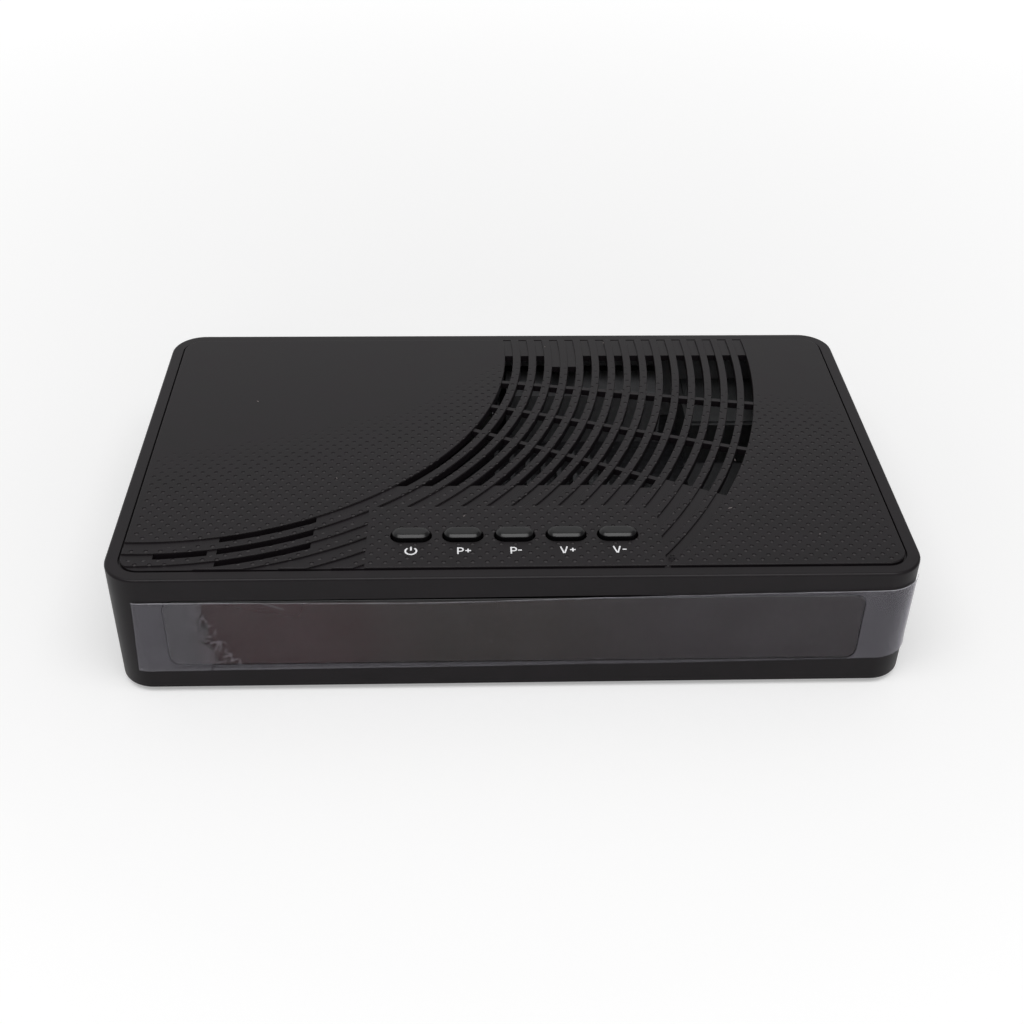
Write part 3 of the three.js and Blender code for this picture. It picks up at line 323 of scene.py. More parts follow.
def skin(loops, first=0):
    """Faces over a stack of loops: quads between neighbours, and one flat face on each end."""
    loops = np.asarray(loops, float)
    rows, count = loops.shape[:2]
    index = first + np.arange(rows * count).reshape(rows, count)
    after = np.roll(index, -1, axis=1)
    quads = np.stack([index[:-1], after[:-1], after[1:], index[1:]], -1).reshape(-1, 4)
    return loops.reshape(-1, 3), quads.tolist() + [index[0, ::-1].tolist(), index[-1].tolist()]


def ring_skin(loops):
    """Quads over a closed ring of loops: the last loop is joined to the first, so it has no ends."""
    loops = np.asarray(loops, float)
    index = np.arange(loops.shape[0] * loops.shape[1]).reshape(loops.shape[:2])
    ahead, around = np.roll(index, -1, axis=0), np.roll(index, -1, axis=1)
    quads = np.stack([index, ahead, np.roll(ahead, -1, axis=1), around], -1).reshape(-1, 4)
    return loops.reshape(-1, 3), quads.tolist()


def together(stacks):
    """Several stacks of loops as the points and faces of one mesh."""
    points, faces = [], []
    for stack in stacks:
        some_points, some_faces = skin(stack, sum(map(len, points)))
        points.append(some_points)
        faces += some_faces
    return np.concatenate(points), faces


def build(name, points, faces):
    """A mesh object from case millimetres, with all its faces turned outwards."""
    mesh = bpy.data.meshes.new(name)
    mesh.from_pydata(place(points).tolist(), [], faces)
    turner = bmesh.new()
    turner.from_mesh(mesh)
    bmesh.ops.recalc_face_normals(turner, faces=turner.faces)
    turner.to_mesh(mesh)
    turner.free()
    made = bpy.data.objects.new(name, mesh)
    collection.objects.link(made)
    return made


def cut(piece, tool):
    """Cuts a closed tool out of a closed piece for good, and takes the tool off the bench."""
    change = piece.modifiers.new("cut", "BOOLEAN")
    change.operation, change.solver, change.object = "DIFFERENCE", "MANIFOLD", tool
    graph = bpy.context.evaluated_depsgraph_get()
    done = bpy.data.meshes.new_from_object(piece.evaluated_get(graph))
    piece.modifiers.clear()
    piece.data = done
    bpy.data.objects.remove(tool)


def dress(piece, material, angle=35, body="case"):
    """Gives a finished piece its material, smooth shading up to an angle, and its body."""
    piece.data.materials.clear()
    piece.data.materials.append(material)
    piece.data.shade_smooth()
    piece.data.set_sharp_from_angle(angle=math.radians(angle))
    piece.modifiers.new("even_normals", "WEIGHTED_NORMAL").keep_sharp = True
    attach(piece, body)
    piece.data.calc_loop_triangles()
    print(piece.name, "triangles:", len(piece.data.loop_triangles))


# %% [markdown]
# ## The cover
# The cover is one moulding. Its section runs up the outside, over a small edge radius to a flat rim,
# down into a fine groove, and up the edge of the raised panel. Carrying that section round the
# case's outline makes the whole shell, inside and out, as one closed surface.

# %% The cover's shell
edge_radius, panel_edge, skirt_edge, groove_edge = 0.7, 0.28, 0.4, 0.1
panel_inset = rim_width + groove_width
groove_floor = rim_top - groove_depth
# the section: how far in from the side, and how high
section = np.concatenate([[(wall, ceiling), (wall, underside)],
                          arc(skirt_edge, underside + skirt_edge, skirt_edge, 270, 180, 5),
                          arc(edge_radius, rim_top - edge_radius, edge_radius, 180, 90, 6),
                          arc(rim_width - groove_edge, rim_top - groove_edge, groove_edge, 90, 0, 2),
                          [(rim_width, groove_floor), (panel_inset, groove_floor)],
                          arc(panel_inset + panel_edge, panel_top - panel_edge, panel_edge, 180, 90, 5)])
shell = [level(rounded(case_width - 2 * inset, case_depth - 2 * inset, case_radius - inset), z)
         for inset, z in section]
cover = build("case_cover", *skin(shell))
print("section points:", len(section), "shell faces:", len(cover.data.polygons))

# %% [markdown]
# ## Bands, slots and dimples
# Sixteen shallow bands sweep round one centre at the left rear. Each is a ring sector whose section
# has sloped shoulders, so the ribs that stay between the bands get a fine broken edge. The bands
# stop at a raised field round the buttons.

# %% Bands
band_count, band_x, band_y = 16, -92.06, 47.26
band_first, band_pitch, band_depth, band_break = 92.09, 4.693, 0.45, 0.1
band_floor = panel_top - band_depth
field_left, field_right, field_rear, field_corner = -36.84, 36.5, -30.9, 7
over = 0.5


def band_sides(number):
    """Inner and outer radius of a band: the outer ones are slightly wider than the inner ones."""
    inner = band_first + number * band_pitch
    return inner, inner + 2.4 + 0.02 * number


def sweep(radius, height, angle):
    """A section of radii and heights carried through angles round the bands' common centre."""
    return np.stack([band_x + radius * np.cos(angle), band_y + radius * np.sin(angle),
                     np.broadcast_to(height, angle.shape[:1] + height.shape)], -1)


def band_tool(number):
    """The ring sector to cut, which spreads outwards over the panel."""
    inner, outer = band_sides(number)
    shoulder = panel_top - band_break
    spread = band_break + over
    above = panel_top + over
    ring = [(inner, band_floor), (outer, band_floor), (outer, shoulder),
            (outer + spread, above), (inner - spread, above), (inner, shoulder)]
    return sweep(*np.array(ring).T, np.radians(np.linspace(7, -97, 121))[:, None])


bands = build("band_tool", *together([band_tool(number) for number in range(band_count)]))
field = np.concatenate([
    arc(field_right - field_corner, field_rear - field_corner, field_corner, 0, 90, 12),
    [(field_left, field_rear), (field_left, -62), (field_right, -62)]])
cut(bands, build("field_tool", *skin([level(field, panel_top - 2), level(field, panel_top + 2)])))
cut(cover, bands)
print("bands cut:", band_count)

# %% [markdown]
# The air slots go right through the top inside the bands. Most end at a straight line at the rear
# and the front, and three thin radial bridges cross them. A slot's two ends therefore lie at
# another angle on its inner side than on its outer side, and the angles between are shared evenly.

# %% Air slots
bridge_angles, bridge_width = (-9.9, -18.35, -26.8), 1.45
# the lines of equal Y at which slots end: two bands stop short at the rear, one goes on at the front
rear_line, rear_line_short, front_line, front_line_long = 46.5, 40.0, -21.3, -22.7
# the lines of equal X between which the innermost bands have slots left of the buttons
left_start, left_step, left_rib_start, left_rib_end, left_line = -49.9, 0.3, -73.16, -75.45, -88.4


def at_y(line, radius):
    """The angle at which a circle round the bands' centre crosses a line of equal Y."""
    return np.arcsin((line - band_y) / radius)


def at_x(line, radius):
    """The angle at which such a circle crosses a line of equal X, on its front half."""
    return -np.arccos((line - band_x) / radius)


def at_bridge(degrees, side, radius):
    """The angle of one side of a bridge, which stays half its width off the radial line."""
    return np.radians(degrees) + side * np.arcsin(bridge_width / 2 / radius)


def slot_tool(number, start, end):
    """One slot: a block bent between two ends, each given as a function of the radius."""
    inner, outer = band_sides(number)
    radius = np.array([inner + 0.02, outer - 0.02, outer - 0.02, inner + 0.02])
    height = np.array([ceiling - 1, ceiling - 1, band_floor + 0.2, band_floor + 0.2])
    share = np.linspace(0, 1, 17)[:, None]
    return sweep(radius, height, start(radius) * (1 - share) + end(radius) * share)


def slots_of(number):
    """The slots of one band, from the rear line over the bridges to the front line."""
    rear = rear_line_short if number in (3, 4) else rear_line
    stop = front_line_long if number == 11 else front_line
    ends = [(lambda r: at_y(rear, r), lambda r: at_bridge(bridge_angles[0], 1, r))]
    ends += [(lambda r, a=a: at_bridge(a, -1, r), lambda r, b=b: at_bridge(b, 1, r))
             for a, b in zip(bridge_angles, bridge_angles[1:])]
    if number <= 11:
        ends.append((lambda r: at_bridge(bridge_angles[-1], -1, r), lambda r: at_y(stop, r)))
    if number < 3:
        ends.append((lambda r: at_x(left_start - left_step * number, r), lambda r: at_x(left_rib_start, r)))
    if number == 1:
        ends.append((lambda r: at_x(left_rib_end, r), lambda r: at_x(left_line, r)))
    return [slot_tool(number, start, end) for start, end in ends]


slots = [slot for number in range(band_count) for slot in slots_of(number)]
cut(cover, build("slot_tool", *together(slots)))
print("slots cut:", len(slots))

# %% [markdown]
# ## Openings
# The buttons, the window, the card slot and the rear panel all have their openings in this one
# moulding. The button openings have a fine broken edge at the top.

# %% Openings for the buttons and the front window
button_pitch, button_y, opening_y = 12.87, -43.15, -43.25
button_places = [(i - 2) * button_pitch - 0.12 for i in range(5)]
opening_width, opening_depth = 10.3, 5.5
window_width, window_height, window_middle, window_radius = 172.0, 20.5, 19.25, 3.0


def stadium(width, depth):
    """A rectangle with half circles for ends."""
    return rounded(width, depth, depth / 2, 12)


def opening_tool(x):
    """A stadium from under the top to just above it, where it spreads outwards."""
    return [level(stadium(opening_width + 2 * grow, opening_depth + 2 * grow) + (x, opening_y), z)
            for grow, z in [(0, ceiling - 3), (0, panel_top - 0.12), (0.2, panel_top + 0.08)]]


def window_loop(grow, y):
    """The window's outline, grown by some millimetres, at a depth."""
    shape = rounded(window_width + 2 * grow, window_height + 2 * grow, window_radius + grow, 10)
    return upright(shape + (0, window_middle), y)


cut(cover, build("button_tool", *together([opening_tool(x) for x in button_places])))
window_tool = [window_loop(0.25, front - 0.1), window_loop(0, front + 0.15), window_loop(0, front + 4)]
cut(cover, build("window_tool", *skin(window_tool)))
print("openings for", len(button_places), "buttons and a window")

# %% [markdown]
# The upper edge of the film sags in the middle and bares a strip of the window. Over that strip the
# eye looks into a dark gap between the window and its opening. The gap is a groove 1 mm deep along
# the opening's upper side, which closes again towards both ends.

# %% The gap over the film
gap_middle, gap_half, gap_low_z, gap_up_z, gap_slope, gap_deep = -16.0, 60.0, 29.3, 30.02, 0.0063, 1.0
along = np.linspace(-1, 1, 61)
gap_x = gap_middle + gap_half * along
gap_low = np.column_stack([gap_x, np.full(len(gap_x), gap_low_z - 0.1)])
gap_rise = (gap_up_z + gap_slope * gap_x - gap_low_z) * (1 - along ** 8)
gap_up = np.column_stack([gap_x, gap_low_z + gap_rise])
gap_outline = np.concatenate([gap_low, gap_up[::-1]])
gap_loops = [upright(gap_outline, y) for y in (front - 0.3, front + gap_deep)]
cut(cover, build("gap_tool", *skin(gap_loops)))
print("gap over the window in mm:", round(gap_up_z - window_middle - window_height / 2, 2))

# %% Openings at the back and the right side
rear_width, rear_height, rear_top = 176.0, 31.0, 31.5
rear_opening = rounded(rear_width, rear_height, 0.4, 3) + (0, rear_top - rear_height / 2)
cut(cover, build("rear_tool", *skin([upright(rear_opening, 55), upright(rear_opening, 62)])))
card_width, card_height, card_y, card_z = 55.4, 2.4, -8.35, 11.7
card_slot = rounded(card_width, card_height, 0.5, 4) + (card_y, card_z)
card_loops = [np.column_stack([np.full(len(card_slot), x), card_slot]) for x in (96.5, 101)]
cut(cover, build("card_tool", *skin(card_loops)))
print("card slot at", card_slot[:, 1].min().round(2), "to", card_slot[:, 1].max().round(2), "mm")

# %% [markdown]
# ## Dimples
# The raised parts of the panel carry about two thousand shallow bowls, on rows 1.77 mm apart, each
# row shifted by half a step. One bowl has three rings of ten points, and copies of it are laid over
# the whole lattice at once. Where a bowl lies on the edge of a slot it nicks that edge, as on the
# real moulding. Towards the rear they get shallower and then vanish, soonest at the left.

# %% Where the dimples lie
row_pitch, column_pitch, first_row = 1.771, 3.54, -53.95
rows, columns = np.arange(-1, 63), np.arange(-28, 29)
lattice_x = columns[None, :] * column_pitch + (rows[:, None] % 2) * column_pitch / 2
lattice_y = np.broadcast_to(first_row + rows[:, None] * row_pitch, lattice_x.shape)
spots = np.stack([lattice_x.ravel(), lattice_y.ravel()], 1)

margin, panel_corner, sign_y = 1.25, 5.25, -49.4
band_middle, band_reach, field_middle, field_half = 1.25, 1.05, -0.17, 36.7
half = np.array([case_width / 2, case_depth / 2]) - panel_inset - margin
corner = panel_corner - margin
beyond = np.maximum(np.abs(spots) - (half - corner), 0)
keep = np.hypot(beyond[:, 0], beyond[:, 1]) < corner
number = (np.hypot(spots[:, 0] - band_x, spots[:, 1] - band_y) - band_first) / band_pitch
inside = np.abs((number % 1) * band_pitch - band_middle) < band_reach
in_field = (np.abs(spots[:, 0] - field_middle) < field_half) & (spots[:, 1] < field_rear)
keep &= ~(inside & (number > 0) & (number < band_count) & ~in_field)
for x in button_places:
    for y, half_width, half_depth in ((sign_y, 2.3, 1.9), (opening_y, 4.4, 2.2)):
        keep &= ~((np.abs(spots[:, 0] - x) < half_width) & (np.abs(spots[:, 1] - y) < half_depth))
spots = spots[keep]

# how much of its depth each dimple keeps: less towards a line that bends round the slots
fade_x, fade_y, fade_length, least = [-96, -60, -30, 0, 40, 70, 96], [-16, -6, 6, 34, 34, 16, 8], 32, 0.12
worn = np.clip((spots[:, 1] - np.interp(spots[:, 0], fade_x, fade_y)) / fade_length + 0.5, 0, 1)
depth = 1 - worn * worn * (3 - 2 * worn)
spots, depth = spots[depth > least], depth[depth > least]
print("dimples:", len(spots))

# %% Dimples
POINTS = 10


def bowls(centres, depth):
    """Copies of one bowl: rings of ten points round each centre, their depths scaled by its share."""
    turn = np.arange(POINTS) * 2 * np.pi / POINTS
    ring_radius, ring_depth = np.array([0.6, 0.52, 0.3]), np.array([0.06, -0.12, -0.21])
    rings = np.stack(np.broadcast_arrays(ring_radius[:, None] * np.cos(turn),
                                         ring_radius[:, None] * np.sin(turn), ring_depth[:, None]), -1)
    one = np.concatenate([rings.reshape(-1, 3), [(0, 0, 0.06), (0, 0, -0.24)]])
    grown = np.repeat(one[None], len(centres), axis=0)
    grown[..., 2] *= np.where(grown[..., 2] < 0, depth[:, None], 1)
    points = grown + np.column_stack([centres, np.full(len(centres), panel_top)])[:, None]
    here, following = np.arange(POINTS), (np.arange(POINTS) + 1) % POINTS
    lid = np.stack([np.full(POINTS, 3 * POINTS), here, following], 1)
    tip = np.stack([2 * POINTS + following, 2 * POINTS + here, np.full(POINTS, 3 * POINTS + 1)], 1)
    side = np.stack([here, here + POINTS, following + POINTS, following], 1)
    shift = len(one) * np.arange(len(centres))[:, None, None]
    triangles = (np.concatenate([lid, tip])[None] + shift).reshape(-1, 3).tolist()
    quads = (np.concatenate([side, side + POINTS])[None] + shift).reshape(-1, 4).tolist()
    return points.reshape(-1, 3), triangles + quads


cut(cover, build("bowl_tool", *bowls(spots, depth)))
print("faces of the cover:", len(cover.data.polygons))

# %% The finished cover
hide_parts("top_cover")
dress(cover, case_abs, 30)

# %% [markdown]
# ## Marks of moulding and of use
# At the front edge the gate of the mould left a small tab across the groove, and a ring where a pin
# pushed the part out. A few pale fibres of lint lie on the panel.

# %% Gate tab and pin ring
tab_x, tab_y, tab_width, tab_depth = 36.7, -55.85, 1.5, 1.1
tab_levels = [(0.0, groove_floor), (0.0, rim_top + 0.02), (0.2, rim_top + 0.1)]
tab = [level(rounded(tab_width - 2 * inset, tab_depth - 2 * inset, 0.25, 5) + (tab_x, tab_y), z)
       for inset, z in tab_levels]
dress(build("gate_tab", *skin(tab)), case_abs)
pin_x, pin_y, pin_radius, bead = 38.1, -52.6, 0.75, 0.13
pin_section = arc(pin_radius, panel_top - 0.05, bead, 0, 315, 7)
dress(build("pin_ring", *ring_skin(spun(pin_section, pin_x, pin_y, 40))), case_abs)

# %% Lint
# place along X and Y, length, and direction in degrees
lint_places = [(55.6, -32.6, 1.1, 15), (30.3, 53.5, 0.5, 70), (-12.7, -35.2, 0.45, 30),
               (60.4, -10.7, 0.5, 100), (-71.0, 20.5, 0.6, 150), (12.3, 51.2, 0.4, 10),
               (76.4, -44.0, 0.35, 60), (-46.0, -18.0, 0.4, 120)]
fibres = []
for fibre_x, fibre_y, long, degrees in lint_places:
    bow = arc(0, -long, 1.15 * long, 90 - 25, 90 + 25, 6) - (0, 0.15 * long)
    angle = math.radians(degrees)
    spin = np.array([[math.cos(angle), math.sin(angle)], [-math.sin(angle), math.cos(angle)]])
    fibre = np.concatenate([bow + (0, 0.07), bow[::-1] - (0, 0.07)]) @ spin + (fibre_x, fibre_y)
    fibres.append([level(fibre, panel_top - 0.01), level(fibre, panel_top + 0.06)])
material, tree, shader, where = finish("cotton_lint", {"Roughness": 0.9, "Specular IOR Level": 0.2})
tufts = add(tree, "TexNoise", {"Vector": where, "Scale": 1 / (0.2 * MM)})
feed(shader, {"Base Color": add(tree, "MixRGB", [tufts, "#7d7573", "#bdb2b0"])})
dress(build("lint_fibres", *together(fibres)), material)

# %% [markdown]
# ## Push buttons
# Each button is a low stadium with a soft bevel all round its top. The front of that bevel catches
# the lamp over the camera, as a bright band over the dark gap of the opening.

# %% Push buttons
key_names = ["power", "channel_up", "channel_down", "volume_up", "volume_down"]
button_foot, button_top, button_width, button_depth = 33.2, 37.9, 9.3, 4.3
bevel_run, bevel_drop = 0.85, 0.6
# how far in from the button's side, and how far under its top
bevel = [(0.0, button_top - button_foot), (0.0, bevel_drop + 0.1), (0.03, bevel_drop + 0.02),
         (0.1, bevel_drop - 0.06), (bevel_run - 0.25, 0.13), (bevel_run - 0.08, 0.04),
         (bevel_run + 0.15, 0.0), (1.8, 0.0)]
for name, x in zip(key_names, button_places):
    loops = [level(stadium(button_width - 2 * inset, button_depth - 2 * inset), button_top - drop)
             + (x, button_y, 0) for inset, drop in bevel]
    cap = build(name + "_cap", *skin(loops))
    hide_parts(name + "_button")
    dress(cap, button_abs, 50, name + "_key")

# %% [markdown]
# ## Window
# The window is one piece of smoked acrylic, dark red-brown where the display sits behind it and
# greyer to the right. It stands flush with the case, with a fine dark gap round it. It is an outline
# carried forwards from its flange to its face, with a fine rounded edge. A near-black band along its
# upper edge is painted shade, for the gap above it.

# %% Window pane
pane_gap, pane_edge, flange_back, flange_front = 0.14, 0.18, 3.7, 2.3
flange = rounded(window_width + 4, window_height + 4, window_radius, 10) + (0, window_middle)
loops = [upright(flange, front + flange_back), upright(flange, front + flange_front)]
loops += [window_loop(-pane_gap, front + flange_front), window_loop(-pane_gap, front + pane_edge)]
loops += [window_loop(-pane_gap - pane_edge * (1 - math.cos(a)), front + pane_edge * (1 - math.sin(a)))
          for a in np.radians([30, 60, 90])]
window = build("window_pane", *skin(loops))
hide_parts("front_lens")

# %% Smoked acrylic: a tint that drifts along the window, under a clear polish
smoked_acrylic, tree, shader, where = finish("smoked_acrylic", {"Roughness": 0.07, "IOR": 1.49})
split = add(tree, "SeparateXYZ", [where])
x, z = split.outputs["X"], split.outputs["Z"]
cloud = add(tree, "TexNoise", {"Vector": where, "Scale": 1 / (30 * MM), "Detail": 2.0})
drift = add(tree, "Math", [cloud, 24 * MM, x], operation="MULTIPLY_ADD")
red = add(tree, "MapRange", [drift, -42 * MM, -8 * MM], interpolation_type="SMOOTHSTEP")
right = add(tree, "MapRange", [drift, 10 * MM, 60 * MM], interpolation_type="SMOOTHSTEP")
left = add(tree, "MapRange", [x, -80 * MM, -74 * MM, 1.0, 0.0])
# a near-black band along the upper edge: painted shade of the gap over the window
painted_gap_shade = add(tree, "MapRange", [z, 28.7 * MM, 28.85 * MM])
tint = "#30151a"
for share, colour in ((red, "#1f1411"), (left, "#1b1719"), (right, "#231a20"), (painted_gap_shade, "#111112")):
    tint = add(tree, "MixRGB", [share, tint, colour])
feed(shader, {"Base Color": tint})
dress(window, smoked_acrylic, 40)

# %% [markdown]
# ## Protective film
# A clear film still covers the window, as on a receiver just unpacked. It is a sheet 0.1 mm thick
# that follows the front and turns round both corners. It lies a little off the case, by a gap that
# wanders, and its edges lift. So it is a grid over two parameters: the length along the front, and
# the share of the way from its upper edge to its lower one.

# %% The film's place
film_skin, film_height, film_top, film_slope = 0.1, 21.95, 29.95, 0.0075
film_gap, film_gap_most, corner_gap = 0.16, 0.34, 0.35
rise_from, film_rise = 42, 0.0098
sag_middle, sag_half, film_sag = -22, 38, 1.02
corner_x, corner_y = case_width / 2 - case_radius, front + case_radius


def film_point(length, lift, z):
    """A point off the front by lift. Between the corners X is the length; past them the rest of the
    length is wound on a circle round the corner's centre, a little wider than the case's corner."""
    past = np.clip(np.abs(length) - corner_x, 0, None) / (case_radius + corner_gap)
    x = np.sign(length) * (np.minimum(np.abs(length), corner_x) + (case_radius + lift) * np.sin(past))
    y = corner_y - (case_radius + lift) * np.cos(past)
    return np.stack([x, y, z], -1)


def film_line(length):
    """Height of the taut film's upper edge: a sloped line that rises more beyond 42 mm."""
    return film_top + film_slope * length + film_rise * np.maximum(length - rise_from, 0)


share = np.linspace(0, 1, 461)[None, :]
down = (1 - np.cos(np.linspace(0, np.pi, 37)))[:, None] / 2
left_end, right_end = -93.0 - 1.1 * down, 102.42 - 0.25 * down
length = left_end + (right_end - left_end) * share
sag = film_sag * np.exp(-((length - sag_middle) / sag_half) ** 2)
edge_z, low_z = film_line(length) - sag, film_line(length) - film_height
ripple = (np.sin(length / 2.9 + 1) + np.sin(length / 1.7 + 2.2) * 0.6 + np.sin(length / 7.3) * 0.8) * 0.035
film_z = edge_z + ripple * (1 - down) ** 6 + (low_z - edge_z) * down + 0.5 * ripple * down ** 8
sway = np.sin(length / 17 + 3 * down) * np.sin(length / 41 + 1.3) * 0.5 + 0.5
lift = film_gap + 0.1 * sway + 0.13 * np.maximum(1 - 6 * down, 0) ** 2
lift = np.minimum(lift + 0.1 * np.maximum(6 * down - 5, 0) ** 2, film_gap_most)
print("film from", round(float(length.min()), 1), "to", round(float(length.max()), 1), "mm")

# %% The film's mesh
outer, inner = film_point(length, lift + film_skin, film_z), film_point(length, lift, film_z)
rows, count = outer.shape[:2]
grid = np.arange(rows * count).reshape(rows, count)
back = grid + grid.size


def strip(a, b):
    """Quads between two rows of point numbers."""
    return np.stack([a[:-1], a[1:], b[1:], b[:-1]], -1).reshape(-1, 4)


quads = [strip(grid[i], grid[i + 1]) for i in range(rows - 1)]
quads += [strip(back[i + 1], back[i]) for i in range(rows - 1)]
quads += [strip(a, b)[:, ::-1] for a, b in ((grid[0], back[0]), (grid[::-1, 0], back[::-1, 0]),
                                            (back[-1], grid[-1]), (back[::-1, -1], grid[::-1, -1]))]
film = build("clear_film", np.concatenate([outer.reshape(-1, 3), inner.reshape(-1, 3)]),
             np.concatenate(quads).tolist())
below_edge = ((edge_z - film_z) * MM).ravel()
film.data.attributes.new("below_edge", "FLOAT", "POINT").data.foreach_set("value", np.tile(below_edge, 2))
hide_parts("protective_film")
print("film skin in mm:", film_skin, "height:", film_height)

# %% [markdown]
# The film is polyethylene, clear but a little milky. Where it clings to the window it is hard to see.
# Where it stands off, over the case and round the window's left end, light is thrown back from both
# its faces, and it looks lavender grey: that reflection is painted as a pale veil over its real
# haze. The border between the two is ragged and wrinkled, with a trail of small bubbles. The cut
# edges are painted white as highlights. All this is one map of how much of it is seen.

# %% Film material: where it stands off the case
polyethylene, tree, shader, where = finish("polyethylene_film", {"Roughness": 0.16, "IOR": 1.51,
                                                                 "Specular IOR Level": 0.5})
split = add(tree, "SeparateXYZ", [where])
x, z = split.outputs["X"], split.outputs["Z"]
aside = add(tree, "Math", [x], operation="ABSOLUTE")


def swing(size, settings):
    """A noise of a size in millimetres, less its middle value, so that it swings round zero."""
    noise = add(tree, "TexNoise", {"Vector": where, "Scale": 1 / (size * MM), **settings})
    return add(tree, "Math", [noise, 0.5], operation="SUBTRACT")


# distance outside the window's rounded rectangle, from its corner centres, in metres
out_x = add(tree, "Math", [aside, (window_width / 2 - window_radius) * MM], operation="SUBTRACT")
off_z = add(tree, "Math", [z, window_middle * MM], operation="SUBTRACT")
off_z = add(tree, "Math", [off_z], operation="ABSOLUTE")
out_z = add(tree, "Math", [off_z, (window_height / 2 - window_radius) * MM], operation="SUBTRACT")
both = [add(tree, "Math", [out, 0.0], operation="MAXIMUM") for out in (out_x, out_z)]
both = add(tree, "CombineXYZ", both)
rim_distance = add(tree, "VectorMath", [both], operation="LENGTH").outputs["Value"]
off_window = add(tree, "MapRange", [rim_distance, 2.7 * MM, 3.1 * MM], interpolation_type="SMOOTHSTEP")
beside = add(tree, "MapRange", [out_x, 0.0, window_radius * MM, 0.62, 1.0])
off_window = add(tree, "Math", [off_window, beside], operation="MULTIPLY")

# %% Film material: where it stands off the window
# the left end stands off up to a ragged line that leans to the right as it goes down
border_x, border_blur, border_lean, border_wave = -73.9, 0.08, 0.16, 9.0
wavy = swing(2.6, {"Detail": 1.5})
lean = add(tree, "Math", [z, border_lean, x], operation="MULTIPLY_ADD")
lean = add(tree, "Math", [wavy, border_wave * MM, lean], operation="MULTIPLY_ADD")
left_end = add(tree, "MapRange", [lean, (border_x - border_blur) * MM, (border_x + border_blur) * MM,
                                  0.6, 0.0])
fringe = add(tree, "MapRange", [lean, -72.4 * MM, -71.0 * MM, 0.85, 0.0])
outline = add(tree, "Math", [lean, -73.55 * MM, 0.28 * MM], operation="COMPARE")

# wrinkles: thin lines where a fine noise crosses its middle value
curly = add(tree, "Math", [swing(1.55, {"Detail": 0.0})], operation="ABSOLUTE")
wrinkles = add(tree, "MapRange", [curly, 0.085, 0.105, 1.0, 0.0])
fringe = add(tree, "Math", [fringe, wrinkles], operation="MULTIPLY")

# a trail of bubbles runs from that line down to the right
trail_x, trail_lean, trail_wave = -60.7, 0.84, 5.0
trail = add(tree, "Math", [z, trail_lean, x], operation="MULTIPLY_ADD")
trail = add(tree, "Math", [trail, trail_x * MM], operation="SUBTRACT")
trail = add(tree, "Math", [wavy, trail_wave * MM, trail], operation="MULTIPLY_ADD")
trail = add(tree, "Math", [trail], operation="ABSOLUTE")
on_trail = add(tree, "MapRange", [trail, 1.6 * MM, 1.9 * MM, 0.95, 0.0])
below = add(tree, "MapRange", [z, 18.0 * MM, 20.0 * MM, 1.0, 0.0])
on_trail = chain(tree, "MULTIPLY", on_trail, below, wrinkles)
loose = chain(tree, "MAXIMUM", off_window, left_end, fringe, on_trail)

# %% Film material: painted highlights on the cut edges and a crease
wander = swing(2.0, {"Detail": 5.0, "Roughness": 0.62, "Distortion": 0.6})
edge_at = add(tree, "Attribute", attribute_name="below_edge").outputs["Fac"]
lumps = add(tree, "Math", [wander, 0.35 * MM, edge_at], operation="MULTIPLY_ADD")
top_edge = add(tree, "MapRange", [lumps, 0.08 * MM, 0.36 * MM, 0.5, 0.0])
to_ends = add(tree, "MapRange", [aside, 62 * MM, 90 * MM, 0.5, 1.0])
top_edge = add(tree, "Math", [top_edge, to_ends], operation="MULTIPLY")
bottom_edge = add(tree, "MapRange", [z, 8.1 * MM, 8.3 * MM, 0.12, 0.0])

crease_start, crease_end = np.array([-61.4, 0, 28.9]), np.array([-56.4, 0, 26.9])
run, _, drop = crease_end - crease_start
across_crease = np.array([drop, 0, -run]) / math.hypot(run, drop)
off_start = add(tree, "VectorMath", [where, crease_start * MM], operation="SUBTRACT")
off_crease = add(tree, "VectorMath", [off_start, across_crease], operation="DOT_PRODUCT").outputs["Value"]
off_crease = add(tree, "Math", [off_crease], operation="ABSOLUTE")
crease = add(tree, "MapRange", [off_crease, 0.1 * MM, 0.5 * MM, 0.1, 0.0])
near = add(tree, "Math", [x, (crease_start[0] + run / 2) * MM, run / 2 * MM], operation="COMPARE")
crease = add(tree, "Math", [crease, near], operation="MULTIPLY")

# %% Film material: specks of dust and dark smears
dust_and_bowl_highlight = add(tree, "TexVoronoi", {"Vector": where, "Scale": 1 / (3.0 * MM)})
rare = add(tree, "SeparateColor", [dust_and_bowl_highlight.outputs["Color"]])
rare = add(tree, "MapRange", {0: rare, 1: 0.84, 4: 0.4})
spread = add(tree, "Math", [wander, 0.4, dust_and_bowl_highlight], operation="MULTIPLY_ADD")
speck = add(tree, "Math", [spread, 0.055], operation="LESS_THAN")
speck = add(tree, "Math", [speck, rare], operation="MULTIPLY")
bright = chain(tree, "MAXIMUM", top_edge, bottom_edge, crease, speck)

smears = add(tree, "TexNoise", {"Vector": where, "Scale": 1 / (5 * MM), "Detail": 6.0, "Roughness": 0.7})
smear = add(tree, "MapRange", {0: smears, 1: 0.66, 2: 0.7, 4: 0.22})
high = add(tree, "MapRange", [z, 22 * MM, 25 * MM])
smear = add(tree, "Math", [smear, high], operation="MULTIPLY")
outline = add(tree, "Math", [outline, 0.2], operation="MULTIPLY")
smear = add(tree, "Math", [smear, outline], operation="MAXIMUM")
